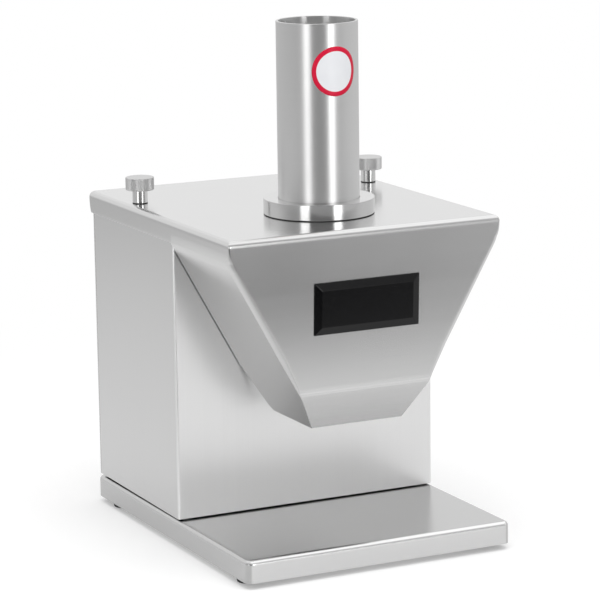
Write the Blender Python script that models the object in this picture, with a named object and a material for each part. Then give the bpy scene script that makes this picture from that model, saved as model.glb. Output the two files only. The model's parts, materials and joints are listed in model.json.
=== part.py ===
"""Electric sausage cutter: a feed tube over a spinning blade, on a folded steel case.

Metres, +Z up. The machine faces -Y, the floor is z = 0 and the origin is under the
middle of the machine. Left and right are those of someone who stands in front of it.
"""
import math

import bmesh
import bpy
from mathutils import Matrix, Vector

MM = 0.001

# Sheet metal and fits
SHEET = 1.5 * MM
SEAT = 0.3 * MM
BEND_RADIUS = 3.4 * MM
SOFT_FOLD_RADIUS = 9.0 * MM
ARC_STEPS = 5

# Base tray and feet
BASE_SIDE_STEP = 0.6 * MM
BASE_REAR_STEP = 4.1 * MM
BASE_SKIRT = 16.9 * MM
BASE_BEND_RADIUS = 2.4 * MM
FOOT_DROP = 4.5 * MM
FOOT_RADIUS = 8.0 * MM
FOOT_SIDE_INSET = 10.9 * MM
FOOT_FRONT_INSET = 22.0 * MM
FOOT_REAR_INSET = 25.7 * MM

# Body case
BODY_WIDTH = 215.9 * MM
BODY_DEPTH = 151.6 * MM
BODY_SETBACK = 120.0 * MM
BODY_LIFT = 2.0 * MM
BODY_CORNER_RADIUS = 2.2 * MM
FLOOR_FLANGE = 20.0 * MM
REAR_FLANGE = 15.0 * MM
WINDOW_SIDE_INSET = 15.95 * MM
WINDOW_SILL = 4.0 * MM

# Hood: cover and chute in one folded shell
COVER_SIDE_GAP = 0.55 * MM
COVER_RISE = 226.1 * MM
COVER_SETBACK = 17.8 * MM
COVER_SKIRT = 16.5 * MM
REAR_OVERHANG = 6.2 * MM
FRONT_LEAN = math.radians(2.3)
LOWER_LEAN = math.radians(27.7)
SIDE_SLANT = math.radians(30.0)
FRONT_BEND_DROP = 119.3 * MM
OUTLET_DROP = 147.2 * MM
REAR_CUT_RISE = 28.1 * MM
REAR_CUT_DEPTH = 15.6 * MM

# Feed tube, its flange ring and gasket
TUBE_DIAMETER = 60.3 * MM
TUBE_WALL = 2.0 * MM
TUBE_RISE = 142.5 * MM
TUBE_REACH = 25.1 * MM
RING_WIDTH = 11.05 * MM
RING_RISE = 12.0 * MM
GASKET_THICKNESS = 0.8 * MM
RING_SCREW_COUNT = 3
RING_SCREW_RADIUS = 2.0 * MM
RING_SCREW_HEAD_RADIUS = 4.0 * MM
RING_SCREW_HEAD = 3.0 * MM
RING_SCREW_GRIP = 7.0 * MM

# Thumb nuts and the posts they hold the hood to
POST_SIDE_INSET = 10.45 * MM
POST_SETBACK = 82.5 * MM
POST_RADIUS = 6.0 * MM
POST_STUD_RADIUS = 4.0 * MM
POST_STUD_RISE = 13.5 * MM
POST_TAIL = 8.0 * MM
NUT_STEM_RADIUS = 5.8 * MM
NUT_STEM_RISE = 10.3 * MM
NUT_HEAD_RADIUS = 10.8 * MM
NUT_HEAD_HEIGHT = 9.7 * MM
NUT_CHAMFER = 0.6 * MM
NUT_WASHER = 0.6 * MM

# Name plate on the hood's front
PLATE_WIDTH = 85.0 * MM
PLATE_HEIGHT = 38.5 * MM
PLATE_THICKNESS = 2.2 * MM
PLATE_BEVEL = 3.6 * MM
PLATE_DROP = 55.8 * MM

# Cutting rotor
ROTOR_SETBACK = 32.0 * MM
BLADE_SIDE_GAP = 18.45 * MM
BLADE_THICKNESS = 2.0 * MM
BLADE_GAP = 1.0 * MM
BLADE_ARMS = 2
BLADE_ROOT_WIDTH = 27.0 * MM
BLADE_TIP_WIDTH = 10.0 * MM
BLADE_SWEEP = math.radians(24.0)
BLADE_STEPS = 10
HUB_RADIUS = 17.0 * MM
HUB_NECK_RADIUS = 12.0 * MM
HUB_FLANGE = 4.0 * MM
HUB_CLEARANCE = 2.5 * MM
SHAFT_RADIUS = 7.5 * MM
SHAFT_NOSE_RADIUS = 6.0 * MM
SHAFT_THREAD_RADIUS = 5.0 * MM
SHAFT_NOSE = 9.0 * MM
BLADE_NUT_ACROSS = 17.0 * MM
BLADE_NUT_HEIGHT = 8.0 * MM
BLADE_NUT_AIR = 2.2 * MM
SHAFT_PROUD = 1.0 * MM

# Deck under the rotor, and the shaft's seal in it
DECK_THICKNESS = 2.0 * MM
DECK_DROP = 22.5 * MM
SEAL_RADIUS = 13.7 * MM
SEAL_PROUD = 1.5 * MM

# Gearbox
GEAR_MODULE = 1.0 * MM
GEAR_WIDTH = 10.0 * MM
MOTOR_PINION_TEETH = 13
LAYSHAFT_GEAR_TEETH = 39
LAYSHAFT_PINION_TEETH = 15
OUTPUT_GEAR_TEETH = 45
MOTOR_OFFSET = 41.0 * MM
GEARBOX_WALL = 4.0 * MM
GEARBOX_FLOOR = 8.0 * MM
GEARBOX_LID = 6.4 * MM
GEARBOX_CORNER_RADIUS = 8.0 * MM
GEAR_AIR = 2.2 * MM
GEAR_ROW_GAP = 6.0 * MM
LAYSHAFT_RADIUS = 4.0 * MM
BEARING_RADIUS = 14.0 * MM
BEARING_WIDTH = 6.0 * MM
POCKET_FLOOR = 2.0 * MM
GEARBOX_SCREW_RADIUS = 2.2 * MM
GEARBOX_SCREW_HEAD_RADIUS = 4.0 * MM
GEARBOX_SCREW_HEAD = 3.2 * MM
GEARBOX_SCREW_LENGTH = 22.0 * MM
GEARBOX_SCREW_INSET = 6.0 * MM

# Motor
MOTOR_RADIUS = 42.0 * MM
MOTOR_WALL = 2.2 * MM
MOTOR_CAP = 7.0 * MM
MOTOR_SHAFT_RADIUS = 4.0 * MM
MOTOR_CORE_RADIUS = 22.0 * MM
MOTOR_CORE_LENGTH = 50.0 * MM
MOTOR_AIR_GAP = 1.0 * MM
MOTOR_CORE_DROP = 16.0 * MM
FAN_TIP_GAP = 7.8 * MM
FAN_HUB_RADIUS = 9.0 * MM
FAN_BLADE_COUNT = 6
FAN_BLADE_WIDTH = 2.4 * MM
FAN_HEIGHT = 7.0 * MM
FAN_RISE = 6.0 * MM
FAN_CORE_GAP = 6.0 * MM

# Electrical pieces
CAPACITOR_RADIUS = 16.0 * MM
CAPACITOR_LENGTH = 55.0 * MM
CAPACITOR_WALL_GAP = 8.0 * MM
SENSOR_SIZE = 12.0 * MM
SENSOR_RISE = 24.0 * MM
SENSOR_SIDE_INSET = 34.45 * MM
SENSOR_REAR_INSET = 21.6 * MM
SENSOR_GAP = 3.5 * MM

# Rear panel, its screws and vents
PANEL_SCREW_SIDE_INSET = 6.95 * MM
PANEL_SCREW_LOW = 22.0 * MM
PANEL_SCREW_DROP = 26.4 * MM
PANEL_SCREW_RADIUS = 1.7 * MM
PANEL_SCREW_HEAD_RADIUS = 3.6 * MM
PANEL_SCREW_HEAD = 2.0 * MM
PANEL_SCREW_LENGTH = 9.0 * MM
VENT_COUNT = 6
VENT_LENGTH = 60.0 * MM
VENT_WIDTH = 4.0 * MM
VENT_PITCH = 11.0 * MM
VENT_RISE = 110.0 * MM
VENT_END_SHARE = 0.95

# Mains inlet, a standard appliance socket
INLET_SIDE = 42.0 * MM
INLET_RISE = 44.0 * MM
INLET_LIP = 2.0 * MM
INLET_FLANGE = 2.5 * MM
INLET_BODY_WIDTH = 27.0 * MM
INLET_BODY_HEIGHT = 20.0 * MM
INLET_BODY_DEPTH = 18.0 * MM
INLET_WALL = 1.2 * MM
INLET_CAVITY_DEPTH = 16.0 * MM
PIN_BLOCK_DEPTH = 2.0 * MM
PIN_LENGTH = 11.0 * MM
PIN_WIDTH = 2.0 * MM
PIN_HEIGHT = 4.0 * MM
PIN_SPACING = 7.0 * MM
PIN_OFFSET = 2.0 * MM

# Rocker switch
SWITCH_SIDE = 42.0 * MM
SWITCH_RISE = 44.0 * MM
SWITCH_LIP = 1.0 * MM
SWITCH_FLANGE = 1.8 * MM
SWITCH_WALL = 1.85 * MM
SWITCH_BODY_DEPTH = 20.0 * MM
SWITCH_CAVITY_DEPTH = 12.0 * MM
ROCKER_WIDTH = 14.5 * MM
ROCKER_HALF_LENGTH = 11.0 * MM
ROCKER_PROUD = 1.0 * MM
ROCKER_DISH = 2.2 * MM
ROCKER_BELLY = 6.0 * MM
ROCKER_TILT = math.radians(9.0)
ROCKER_SIDE_GAP = 0.4 * MM
ROCKER_SWING_GAP = 0.8 * MM

# Bolts that hold the case on the tray, with a collar that lifts it
CASE_BOLT_SIDE_INSET = 9.0 * MM
CASE_BOLT_FRONT = 9.0 * MM
CASE_BOLT_REAR = 39.6 * MM
CASE_BOLT_RADIUS = 2.0 * MM
CASE_BOLT_HEAD_RADIUS = 4.0 * MM
CASE_BOLT_HEAD = 3.0 * MM
CASE_BOLT_COLLAR_RADIUS = 5.0 * MM
CASE_BOLT_RISE = 6.0 * MM

# Drawing values
ROUND_STEPS = 32
SMALL_STEPS = 16
CUT_MARGIN = 5.0 * MM
HEX_SIDES = 6
SMOOTH_ANGLE = math.radians(30.0)
MERGE_DISTANCE = 0.000001
SNAP_DIGITS = 7

# Sizes of what fits together, worked out from the sizes above
INNER_HALF_WIDTH = BODY_WIDTH / 2 - SHEET
BASE_WIDTH = BODY_WIDTH - 2 * BASE_SIDE_STEP
BASE_DEPTH = BODY_SETBACK + BODY_DEPTH + BASE_REAR_STEP
COVER_WIDTH = BODY_WIDTH + 2 * (COVER_SIDE_GAP + SHEET)
WINDOW_WIDTH = BODY_WIDTH - 2 * WINDOW_SIDE_INSET
BLADE_RADIUS = INNER_HALF_WIDTH - BLADE_SIDE_GAP
POST_SIDE = BODY_WIDTH / 2 - POST_SIDE_INSET
TUBE_RADIUS = TUBE_DIAMETER / 2
RING_RADIUS = TUBE_RADIUS + RING_WIDTH
TUBE_DROP = BLADE_NUT_AIR + SHAFT_PROUD + BLADE_NUT_HEIGHT + SEAT - BLADE_GAP
FAN_ROOM = FAN_RISE + FAN_HEIGHT + FAN_CORE_GAP
MOTOR_LENGTH = MOTOR_CORE_DROP + MOTOR_CORE_LENGTH + FAN_ROOM + MOTOR_CAP
FAN_RADIUS = MOTOR_RADIUS - MOTOR_WALL - FAN_TIP_GAP
INLET_FLANGE_WIDTH = INLET_BODY_WIDTH + 2 * INLET_LIP
INLET_FLANGE_HEIGHT = INLET_BODY_HEIGHT + 2 * INLET_LIP
SWITCH_BODY_WIDTH = ROCKER_WIDTH + 2 * (ROCKER_SIDE_GAP + SWITCH_WALL)
SWITCH_BODY_HEIGHT = 2 * (ROCKER_HALF_LENGTH + ROCKER_SWING_GAP + SWITCH_WALL)
SWITCH_FLANGE_WIDTH = SWITCH_BODY_WIDTH + 2 * SWITCH_LIP
SWITCH_FLANGE_HEIGHT = SWITCH_BODY_HEIGHT + 2 * SWITCH_LIP

# Heights worked out from the sizes above
TRAY_TOP = FOOT_DROP + BASE_SKIRT
BODY_BOTTOM = TRAY_TOP + BODY_LIFT
COVER_TOP = BODY_BOTTOM + COVER_RISE
COVER_UNDER = COVER_TOP - SHEET
COVER_SEAT = COVER_UNDER - SEAT
CASE_TOP = COVER_SEAT - (BEND_RADIUS - SHEET)
SKIRT_BOTTOM = COVER_TOP - COVER_SKIRT
TUBE_END = COVER_UNDER - TUBE_DROP
BLADE_TOP = TUBE_END - BLADE_GAP
BLADE_BOTTOM = BLADE_TOP - BLADE_THICKNESS
DECK_TOP = BLADE_BOTTOM - DECK_DROP
DECK_BOTTOM = DECK_TOP - DECK_THICKNESS
LID_TOP = DECK_BOTTOM - SEAT
LID_BOTTOM = LID_TOP - GEARBOX_LID
UPPER_GEAR_TOP = LID_BOTTOM - SEAT - GEAR_AIR - BEARING_WIDTH
UPPER_GEAR_BOTTOM = UPPER_GEAR_TOP - GEAR_WIDTH
LOWER_GEAR_TOP = UPPER_GEAR_BOTTOM - GEAR_ROW_GAP
LOWER_GEAR_BOTTOM = LOWER_GEAR_TOP - GEAR_WIDTH
GEARBOX_INSIDE = LOWER_GEAR_BOTTOM - GEAR_AIR
GEARBOX_BOTTOM = GEARBOX_INSIDE - GEARBOX_FLOOR
MOTOR_TOP = GEARBOX_BOTTOM - SEAT
MOTOR_BOTTOM = MOTOR_TOP - MOTOR_LENGTH
CORE_TOP = MOTOR_TOP - MOTOR_CORE_DROP
CORE_BOTTOM = CORE_TOP - MOTOR_CORE_LENGTH

# Places worked out from the sizes above, from the tray's front edge to the cover's back
OVERALL_DEPTH = BODY_SETBACK + BODY_DEPTH + REAR_OVERHANG
BASE_FRONT = -OVERALL_DEPTH / 2
BODY_FRONT = BASE_FRONT + BODY_SETBACK
BODY_BACK = BODY_FRONT + BODY_DEPTH
PANEL_FRONT = BODY_BACK - SHEET
CASE_BACK = PANEL_FRONT - SEAT
COVER_FRONT = BASE_FRONT + COVER_SETBACK
COVER_BACK = BODY_BACK + REAR_OVERHANG
TUBE_Y = BODY_FRONT - TUBE_REACH
POST_Y = BODY_FRONT + POST_SETBACK
ROTOR_Y = BODY_FRONT + ROTOR_SETBACK
MOTOR_Y = ROTOR_Y + MOTOR_OFFSET
RING_BOTTOM = COVER_TOP + SEAT + GASKET_THICKNESS + SEAT
RING_TOP = COVER_TOP + RING_RISE
RING_SCREW_CIRCLE = (TUBE_RADIUS + RING_RADIUS) / 2
NUT_BOTTOM = COVER_TOP + SEAT + NUT_WASHER + SEAT
NUT_HEAD_BOTTOM = COVER_TOP + NUT_STEM_RISE
NUT_TOP = NUT_HEAD_BOTTOM + NUT_HEAD_HEIGHT

# Gear geometry: pitch distances place the layshaft between the motor and the rotor
LAY_TO_MOTOR = GEAR_MODULE * (MOTOR_PINION_TEETH + LAYSHAFT_GEAR_TEETH) / 2
LAY_TO_ROTOR = GEAR_MODULE * (LAYSHAFT_PINION_TEETH + OUTPUT_GEAR_TEETH) / 2
LAY_BACK = (LAY_TO_ROTOR**2 - LAY_TO_MOTOR**2 + MOTOR_OFFSET**2) / (2 * MOTOR_OFFSET)
LAY_X = math.sqrt(LAY_TO_ROTOR**2 - LAY_BACK**2)
LAY_Y = ROTOR_Y + LAY_BACK
ADDENDUM = 0.8 * GEAR_MODULE
DEDENDUM = 1.1 * GEAR_MODULE
TOOTH_ROOT_SHARE = 0.29
TOOTH_TIP_SHARE = 0.12

# Colour, roughness and metallic value of each finish
FINISHES = {
    "brushed_steel": ((0.66, 0.66, 0.65), 0.34, 1.0),
    "polished_steel": ((0.78, 0.78, 0.78), 0.12, 1.0),
    "satin_head": ((0.72, 0.72, 0.71), 0.5, 1.0),
    "blade_steel": ((0.74, 0.75, 0.76), 0.22, 1.0),
    "zinc_plate": ((0.58, 0.60, 0.62), 0.4, 1.0),
    "black_rubber": ((0.02, 0.02, 0.02), 0.75, 0.0),
    "black_gloss": ((0.012, 0.012, 0.014), 0.18, 0.0),
    "black_plastic": ((0.03, 0.03, 0.03), 0.45, 0.0),
    "cast_alloy": ((0.50, 0.51, 0.52), 0.55, 1.0),
    "gear_steel": ((0.45, 0.45, 0.46), 0.35, 1.0),
    "core_steel": ((0.25, 0.24, 0.23), 0.5, 1.0),
    "winding_copper": ((0.55, 0.24, 0.10), 0.45, 1.0),
    "brass": ((0.75, 0.58, 0.28), 0.3, 1.0),
    "white_plastic": ((0.80, 0.80, 0.78), 0.4, 0.0),
    "grey_paint": ((0.20, 0.22, 0.24), 0.5, 0.0),
}


def clear_scene():
    """Remove whatever the scene holds."""
    for old in list(bpy.data.objects):
        bpy.data.objects.remove(old, do_unlink=True)


def finish_material(name, finish):
    """Give one piece its own Principled material."""
    colour, roughness, metallic = FINISHES[finish]
    material = bpy.data.materials.new(name)
    material.use_nodes = True
    shader = material.node_tree.nodes["Principled BSDF"]
    shader.inputs["Base Color"].default_value = (*colour, 1.0)
    shader.inputs["Roughness"].default_value = roughness
    shader.inputs["Metallic"].default_value = metallic
    material.diffuse_color = (*colour, 1.0)
    return material


def link_mesh(name, bm):
    """Turn a bmesh into a linked object with its faces pointing out."""
    bmesh.ops.recalc_face_normals(bm, faces=bm.faces)
    mesh = bpy.data.meshes.new(name)
    bm.to_mesh(mesh)
    bm.free()
    made = bpy.data.objects.new(name, mesh)
    bpy.context.scene.collection.objects.link(made)
    return made


def arc_corner(before, corner, after, radius):
    """Points that round one outline corner with an arc."""
    if radius <= 0:
        return [corner]
    to_before = (Vector(before) - Vector(corner)).normalized()
    to_after = (Vector(after) - Vector(corner)).normalized()
    half_angle = to_before.angle(to_after) / 2
    reach = radius / math.tan(half_angle)
    start = Vector(corner) + to_before * reach
    end = Vector(corner) + to_after * reach
    middle = Vector(corner) + (to_before + to_after).normalized() * radius / math.sin(half_angle)
    first = start - middle
    turn = first.angle_signed(end - middle)
    points = []
    for step in range(ARC_STEPS + 1):
        swing = Matrix.Rotation(-turn * step / ARC_STEPS, 2)
        points.append(tuple(middle + swing @ first))
    return points


def rounded(corners):
    """An outline from (u, v, radius) corners."""
    outline = []
    for index, (u, v, radius) in enumerate(corners):
        before = corners[index - 1][:2]
        after = corners[(index + 1) % len(corners)][:2]
        outline.extend(arc_corner(before, (u, v), after, radius))
    return outline


def rectangle(low_u, high_u, low_v, high_v, radius=0.0):
    """A rectangle outline with one corner radius."""
    return rounded([
        (low_u, low_v, radius),
        (high_u, low_v, radius),
        (high_u, high_v, radius),
        (low_u, high_v, radius),
    ])


def circle(radius, centre=(0.0, 0.0), steps=ROUND_STEPS):
    """A round outline."""
    points = []
    for step in range(steps):
        turn = math.tau * step / steps
        points.append((centre[0] + radius * math.cos(turn), centre[1] + radius * math.sin(turn)))
    return points


def prism(name, outline, axis, low, high):
    """Extrude an outline along an axis; it is read as (y, z), (x, z) or (x, y)."""
    def lift(u, v, along):
        u = round(u, SNAP_DIGITS)
        v = round(v, SNAP_DIGITS)
        along = round(along, SNAP_DIGITS)
        if axis == "X":
            return (along, u, v)
        if axis == "Y":
            return (u, along, v)
        return (u, v, along)

    bm = bmesh.new()
    ring = [bm.verts.new(lift(u, v, low)) for u, v in outline]
    face = bm.faces.new(ring)
    grown = bmesh.ops.extrude_face_region(bm, geom=[face])
    raised = [item for item in grown["geom"] if isinstance(item, bmesh.types.BMVert)]
    shift = Vector(lift(0.0, 0.0, high - low))
    bmesh.ops.translate(bm, verts=raised, vec=shift)
    return link_mesh(name, bm)


def turned(name, profile, steps=ROUND_STEPS, closed=False):
    """Spin a (radius, z) profile about Z; a closed one is a ring's section."""
    bm = bmesh.new()
    points = [bm.verts.new((radius, 0.0, height)) for radius, height in profile]
    edges = [bm.edges.new(pair) for pair in zip(points, points[1:])]
    if closed:
        edges.append(bm.edges.new((points[-1], points[0])))
    bmesh.ops.spin(
        bm, geom=points + edges, cent=(0, 0, 0), axis=(0, 0, 1),
        angle=math.tau, steps=steps, use_merge=True,
    )
    bmesh.ops.remove_doubles(bm, verts=bm.verts, dist=MERGE_DISTANCE)
    return link_mesh(name, bm)


def ring(name, inner, outer, low, high, steps=ROUND_STEPS):
    """A plain ring."""
    section = [(inner, low), (outer, low), (outer, high), (inner, high)]
    return turned(name, section, steps, closed=True)


def rod(name, sections, steps=ROUND_STEPS):
    """A stepped round bar from (radius, low, high) stretches, bottom to top."""
    profile = [(0.0, sections[0][1])]
    for radius, low, high in sections:
        profile.append((radius, low))
        profile.append((radius, high))
    profile.append((0.0, sections[-1][2]))
    return turned(name, profile, steps)


def combine(target, other, operation):
    """Apply one exact Boolean and drop the other object."""
    modifier = target.modifiers.new(operation, "BOOLEAN")
    modifier.operation = operation
    modifier.solver = "EXACT"
    modifier.object = other
    bpy.context.view_layer.update()
    graph = bpy.context.evaluated_depsgraph_get()
    made = bpy.data.meshes.new_from_object(target.evaluated_get(graph))
    target.modifiers.clear()
    target.data = made
    bpy.data.objects.remove(other, do_unlink=True)
    return target


def cut(target, cutter):
    return combine(target, cutter, "DIFFERENCE")


def join(target, other):
    return combine(target, other, "UNION")


def shared(target, other):
    return combine(target, other, "INTERSECT")


def drill(target, radius, place, axis, low, high, steps=SMALL_STEPS):
    """Cut a round hole along an axis, through (u, v) of that axis's plane."""
    return cut(target, prism("drill", circle(radius, place, steps), axis, low, high))


def screw_shape(name, head_radius, head, shank_radius, length):
    """A round-headed screw that points down, its head seated at z = 0."""
    dome = head / 3
    profile = [
        (0.0, -length),
        (shank_radius, -length),
        (shank_radius, 0.0),
        (head_radius, 0.0),
        (head_radius, head - dome),
        (head_radius - dome, head),
        (0.0, head),
    ]
    return turned(name, profile, SMALL_STEPS)


def finished(piece, name, finish, carrier=None):
    """Name, shade and colour a piece, and hang it on its carrier."""
    piece.name = name
    piece.data.name = name
    piece.data.materials.clear()
    piece.data.materials.append(finish_material(name, finish))
    piece.data.shade_smooth()
    piece.data.set_sharp_from_angle(angle=SMOOTH_ANGLE)
    if carrier is not None:
        bpy.context.view_layer.update()
        piece.parent = carrier
        piece.matrix_parent_inverse = carrier.matrix_world.inverted()
    return piece


def carrier_at(name, place):
    """An empty on a joint's axis that carries the pieces of one moving body."""
    empty = bpy.data.objects.new(name, None)
    empty.location = place
    bpy.context.scene.collection.objects.link(empty)
    bpy.context.view_layer.update()
    return empty


def set_on_axis(piece, place):
    """Place a piece, built about its own axis, in the machine."""
    piece.location = place
    return piece


def make_base_tray():
    """Tray with a folded skirt, open below, drilled for the case bolts."""
    half = BASE_WIDTH / 2
    back = BASE_FRONT + BASE_DEPTH
    bend = BASE_BEND_RADIUS
    inner_bend = bend - SHEET
    across = rounded([
        (-half, FOOT_DROP, 0), (half, FOOT_DROP, 0), (half, TRAY_TOP, bend), (-half, TRAY_TOP, bend),
    ])
    along = rounded([
        (BASE_FRONT, FOOT_DROP, 0), (back, FOOT_DROP, 0),
        (back, TRAY_TOP, bend), (BASE_FRONT, TRAY_TOP, bend),
    ])
    under = TRAY_TOP - SHEET
    low = FOOT_DROP - CUT_MARGIN
    hollow_across = rounded([
        (-half + SHEET, low, 0), (half - SHEET, low, 0),
        (half - SHEET, under, inner_bend), (-half + SHEET, under, inner_bend),
    ])
    hollow_along = rounded([
        (BASE_FRONT + SHEET, low, 0), (back - SHEET, low, 0),
        (back - SHEET, under, inner_bend), (BASE_FRONT + SHEET, under, inner_bend),
    ])
    corners = rectangle(-half, half, BASE_FRONT, back, BASE_BEND_RADIUS)
    tray = prism("tray", across, "Y", BASE_FRONT - CUT_MARGIN, back + CUT_MARGIN)
    shared(tray, prism("along", along, "X", -BASE_WIDTH, BASE_WIDTH))
    shared(tray, prism("corners", corners, "Z", low, TRAY_TOP + CUT_MARGIN))
    hollow = prism("hollow", hollow_across, "Y", BASE_FRONT, back)
    shared(hollow, prism("hollow_along", hollow_along, "X", -BASE_WIDTH, BASE_WIDTH))
    cut(tray, hollow)
    for x, y in case_bolt_places():
        drill(tray, CASE_BOLT_RADIUS + SEAT, (x, y), "Z", FOOT_DROP, TRAY_TOP + CUT_MARGIN)
    return finished(tray, "base_tray", "brushed_steel")


def foot_places():
    """Name and centre of each foot."""
    side = BASE_WIDTH / 2 - FOOT_SIDE_INSET
    front = BASE_FRONT + FOOT_FRONT_INSET
    rear = BASE_FRONT + BASE_DEPTH - FOOT_REAR_INSET
    return {
        "front_left": (-side, front),
        "front_right": (side, front),
        "rear_left": (-side, rear),
        "rear_right": (side, rear),
    }


def make_feet():
    """Rubber buffers that hang from the tray's underside."""
    top = TRAY_TOP - SHEET - SEAT
    edge = FOOT_RADIUS / 8
    for corner, (x, y) in foot_places().items():
        profile = [
            (0.0, 0.0), (FOOT_RADIUS - edge, 0.0), (FOOT_RADIUS, edge), (FOOT_RADIUS, top), (0.0, top),
        ]
        foot = set_on_axis(turned("foot", profile, SMALL_STEPS), (x, y, 0.0))
        finished(foot, "foot_" + corner, "black_rubber")


def case_bolt_places():
    """Centres of the bolts that hold the case on the tray."""
    side = INNER_HALF_WIDTH - CASE_BOLT_SIDE_INSET
    front = BODY_FRONT + CASE_BOLT_FRONT
    rear = BODY_BACK - CASE_BOLT_REAR
    return [(-side, front), (side, front), (-side, rear), (side, rear)]


def make_case_bolts():
    """Bolts from below; a collar on each keeps the case off the tray."""
    head_top = TRAY_TOP - SHEET - SEAT
    names = ["front_left", "front_right", "rear_left", "rear_right"]
    for corner, (x, y) in zip(names, case_bolt_places()):
        bolt = rod("bolt", [
            (CASE_BOLT_HEAD_RADIUS, head_top - CASE_BOLT_HEAD, head_top),
            (CASE_BOLT_RADIUS, head_top, TRAY_TOP + SEAT),
            (CASE_BOLT_COLLAR_RADIUS, TRAY_TOP + SEAT, BODY_BOTTOM - SEAT),
            (CASE_BOLT_RADIUS, BODY_BOTTOM - SEAT, BODY_BOTTOM + CASE_BOLT_RISE),
        ], SMALL_STEPS)
        finished(set_on_axis(bolt, (x, y, 0.0)), "case_bolt_" + corner, "zinc_plate")


def make_body_case():
    """Front and side walls folded from one sheet, with floor and rear flanges."""
    half = BODY_WIDTH / 2
    bend = BODY_CORNER_RADIUS
    outline = rounded([
        (-half, BODY_FRONT, bend), (half, BODY_FRONT, bend), (half, CASE_BACK, 0), (-half, CASE_BACK, 0),
    ])
    inside = rounded([
        (-half + SHEET, BODY_FRONT + SHEET, bend - SHEET),
        (half - SHEET, BODY_FRONT + SHEET, bend - SHEET),
        (half - SHEET, CASE_BACK - SHEET, 0),
        (-half + SHEET, CASE_BACK - SHEET, 0),
    ])
    floor_hole = rectangle(
        -half + SHEET + FLOOR_FLANGE, half - SHEET - FLOOR_FLANGE,
        BODY_FRONT + SHEET + FLOOR_FLANGE, CASE_BACK + CUT_MARGIN,
    )
    rear_gap = rectangle(
        -half + SHEET + REAR_FLANGE, half - SHEET - REAR_FLANGE,
        CASE_BACK - SHEET - CUT_MARGIN, CASE_BACK + CUT_MARGIN,
    )
    window = rectangle(
        -WINDOW_WIDTH / 2, WINDOW_WIDTH / 2, BODY_FRONT - CUT_MARGIN, BODY_FRONT + SHEET + CUT_MARGIN,
    )
    above = CASE_TOP + CUT_MARGIN
    case = prism("case", outline, "Z", BODY_BOTTOM, CASE_TOP)
    cut(case, prism("inside", inside, "Z", BODY_BOTTOM + SHEET, above))
    cut(case, prism("floor", floor_hole, "Z", BODY_BOTTOM - CUT_MARGIN, BODY_BOTTOM + SHEET + CUT_MARGIN))
    cut(case, prism("rear", rear_gap, "Z", BODY_BOTTOM - CUT_MARGIN, above))
    cut(case, prism("window", window, "Z", DECK_TOP + WINDOW_SILL, above))
    for x, y in case_bolt_places():
        low = BODY_BOTTOM - CUT_MARGIN
        drill(case, CASE_BOLT_RADIUS + SEAT, (x, y), "Z", low, BODY_BOTTOM + SHEET + CUT_MARGIN)
    for x, z in panel_screw_places().values():
        low = CASE_BACK - SHEET - CUT_MARGIN
        drill(case, PANEL_SCREW_RADIUS + SEAT, (x, z), "Y", low, CASE_BACK + CUT_MARGIN)
    return finished(case, "body_case", "brushed_steel")


def panel_screw_places():
    """Name and (x, z) of each rear panel screw."""
    low = BODY_BOTTOM + PANEL_SCREW_LOW
    high = CASE_TOP - PANEL_SCREW_DROP
    side = INNER_HALF_WIDTH - PANEL_SCREW_SIDE_INSET
    return {
        "low_left": (-side, low),
        "low_right": (side, low),
        "high_left": (-side, high),
        "high_right": (side, high),
    }


def make_rear_panel():
    """Flat panel with vents and the cut-outs of the inlet and the switch."""
    half = BODY_WIDTH / 2
    low = PANEL_FRONT - CUT_MARGIN
    high = BODY_BACK + CUT_MARGIN
    panel = prism("panel", rectangle(-half, half, BODY_BOTTOM, CASE_TOP), "Y", PANEL_FRONT, BODY_BACK)
    for x, z in panel_screw_places().values():
        drill(panel, PANEL_SCREW_RADIUS + SEAT, (x, z), "Y", low, high)
    for index in range(VENT_COUNT):
        z = BODY_BOTTOM + VENT_RISE + VENT_PITCH * index
        radius = VENT_WIDTH / 2
        slot = rectangle(
            -VENT_LENGTH / 2, VENT_LENGTH / 2, z - radius, z + radius, radius * VENT_END_SHARE,
        )
        cut(panel, prism("vent", slot, "Y", low, high))
    for x, rise, width, height in (
        (-INLET_SIDE, INLET_RISE, INLET_BODY_WIDTH, INLET_BODY_HEIGHT),
        (SWITCH_SIDE, SWITCH_RISE, SWITCH_BODY_WIDTH, SWITCH_BODY_HEIGHT),
    ):
        z = BODY_BOTTOM + rise
        half_width = width / 2 + SEAT
        half_height = height / 2 + SEAT
        hole = rectangle(x - half_width, x + half_width, z - half_height, z + half_height)
        cut(panel, prism("hole", hole, "Y", low, high))
    return finished(panel, "rear_panel", "brushed_steel")


def make_panel_screws():
    """Screws whose heads lie on the rear panel."""
    for corner, (x, z) in panel_screw_places().items():
        screw = screw_shape(
            "screw", PANEL_SCREW_HEAD_RADIUS, PANEL_SCREW_HEAD, PANEL_SCREW_RADIUS, PANEL_SCREW_LENGTH,
        )
        screw.data.transform(Matrix.Rotation(-math.pi / 2, 4, "X"))
        finished(set_on_axis(screw, (x, BODY_BACK + SEAT, z)), "panel_screw_" + corner, "zinc_plate")


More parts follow.
